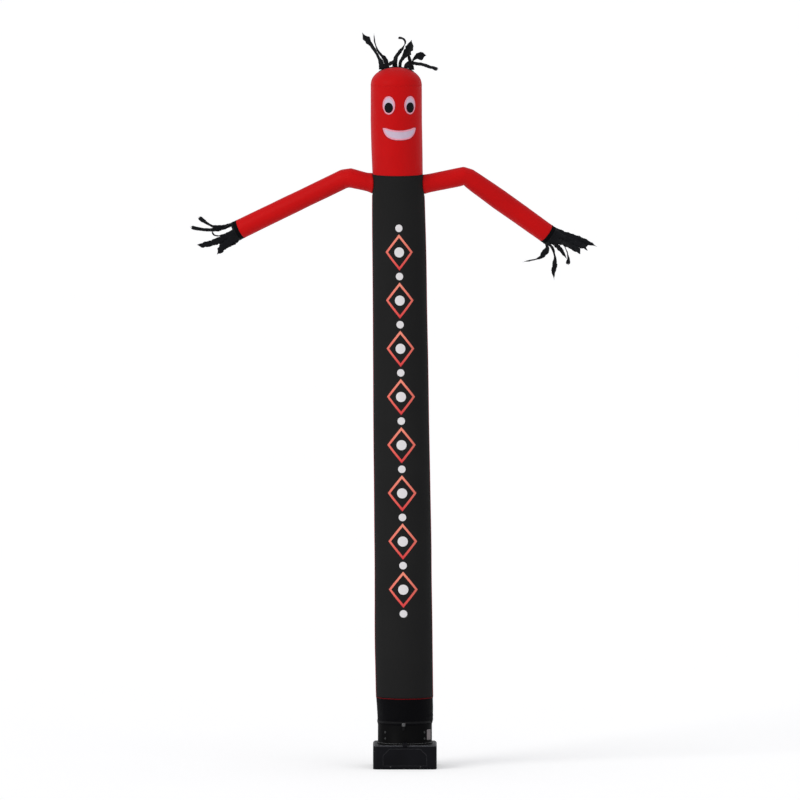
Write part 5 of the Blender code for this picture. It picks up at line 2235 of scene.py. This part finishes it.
@dataclass
class Studio:
    """The pale floor, the soft lights and the camera at the photograph's angle."""

    elevation: float = 5.0
    sky: tuple[float, float, float] = (0.96, 0.97, 1.0)
    sky_strength: float = 0.50
    floor_glow: float = 0.07
    seen_glow: float = 0.21

    def build(self) -> None:
        """Builds the stage."""
        scene = bpy.context.scene
        scene.view_settings.view_transform = "Standard"
        world = bpy.data.worlds.new("studio")
        world.use_nodes = True
        background = world.node_tree.nodes["Background"]
        background.inputs["Color"].default_value = (*self.sky, 1.0)
        background.inputs["Strength"].default_value = self.sky_strength
        scene.world = world
        self.floor()
        self.sun("key", (-0.684, -0.595, 0.423), 1.33, 36.0, (1.0, 0.985, 0.97))
        self.sun("fill", (0.60, -0.70, 0.30), 0.32, 50.0, (1.0, 0.97, 1.0))
        self.sun("top", (0.05, -0.15, 1.0), 0.45, 60.0, (1.0, 1.0, 1.0))
        self.camera()

    def floor(self) -> None:
        """Builds the floor, which is a stage."""
        shape = bmesh.new()
        bmesh.ops.create_circle(shape, cap_ends=True, segments=64, radius=160.0)
        mesh = bpy.data.meshes.new("floor")
        shape.to_mesh(mesh)
        shape.free()
        floor = bpy.data.objects.new("floor", mesh)
        bpy.context.scene.collection.objects.link(floor)
        made = bpy.data.materials.new("pale_floor")
        made.use_nodes = True
        graph = Graph(made.node_tree)
        where = graph.node("TexCoord")
        cloud = graph.node("TexNoise", Vector=where.outputs["Object"], Scale=0.6, Detail=3.0)
        colour = graph.mix(cloud.outputs[0], (0.86, 0.86, 0.86, 1.0), (0.88, 0.88, 0.88, 1.0))
        seen = graph.node("LightPath").outputs["Is Camera Ray"]
        shader = made.node_tree.nodes["Principled BSDF"]
        graph.tree.links.new(colour, shader.inputs["Base Color"])
        glow = graph.math("MULTIPLY_ADD", seen, self.seen_glow, self.floor_glow)
        graph.tree.links.new(glow, shader.inputs["Emission Strength"])
        shader.inputs["Emission Color"].default_value = (1.0, 1.0, 1.0, 1.0)
        shader.inputs["Roughness"].default_value = 0.9
        shader.inputs["Specular IOR Level"].default_value = 0.0
        mesh.materials.append(made)

    @staticmethod
    def sun(
        name: str,
        place: tuple[float, float, float],
        strength: float,
        angle: float,
        colour: tuple[float, float, float],
    ) -> None:
        """Adds a soft far light.

        Args:
            name: The light's name.
            place: The direction that it shines from.
            strength: Its strength.
            angle: Its size in degrees, which softens its shadows.
            colour: Its colour.
        """
        light = bpy.data.lights.new(name, "SUN")
        light.energy = strength
        light.angle = math.radians(angle)
        light.color = colour
        made = bpy.data.objects.new(name, light)
        made.rotation_mode = "QUATERNION"
        made.rotation_quaternion = Vector(place).to_track_quat("Z", "Y")
        bpy.context.scene.collection.objects.link(made)

    def camera(self) -> None:
        """Adds the camera that frames the dancer as the photograph does."""
        tilt = math.radians(self.elevation)
        back = Vector((0.0, -math.cos(tilt), math.sin(tilt)))
        half = IMAGE_SIZE / 2
        aim = Vector(((half - MIDDLE_COLUMN) * PX, 0.0, (FLOOR_ROW - half) * PX / math.cos(tilt)))
        data = bpy.data.cameras.new("view")
        data.type = "ORTHO"
        data.ortho_scale = IMAGE_SIZE * PX
        data.clip_end = 400.0
        made = bpy.data.objects.new("view", data)
        made.location = aim + back * 30.0
        made.rotation_mode = "QUATERNION"
        made.rotation_quaternion = (-back).to_track_quat("-Z", "Y")
        bpy.context.scene.collection.objects.link(made)
        bpy.context.scene.camera = made


def main() -> None:
    """Builds the dancer's looks from the floor up."""
    head = Head()
    for name, assembly in (
        ("studio", Studio()),
        ("blower", Blower()),
        ("foot", Foot()),
        ("body", Body()),
        ("left arm", Arm(LEFT_ARM)),
        ("right arm", Arm(RIGHT_ARM)),
        ("left hand", Hand(LEFT_ARM, LEFT_HAND)),
        ("right hand", Hand(RIGHT_ARM, RIGHT_HAND)),
        ("head", head),
        ("face", Face(head)),
        ("hair", Hair(head)),
    ):
        LOG.info("building the %s", name)
        assembly.build()


if __name__ == "__main__":
    main()
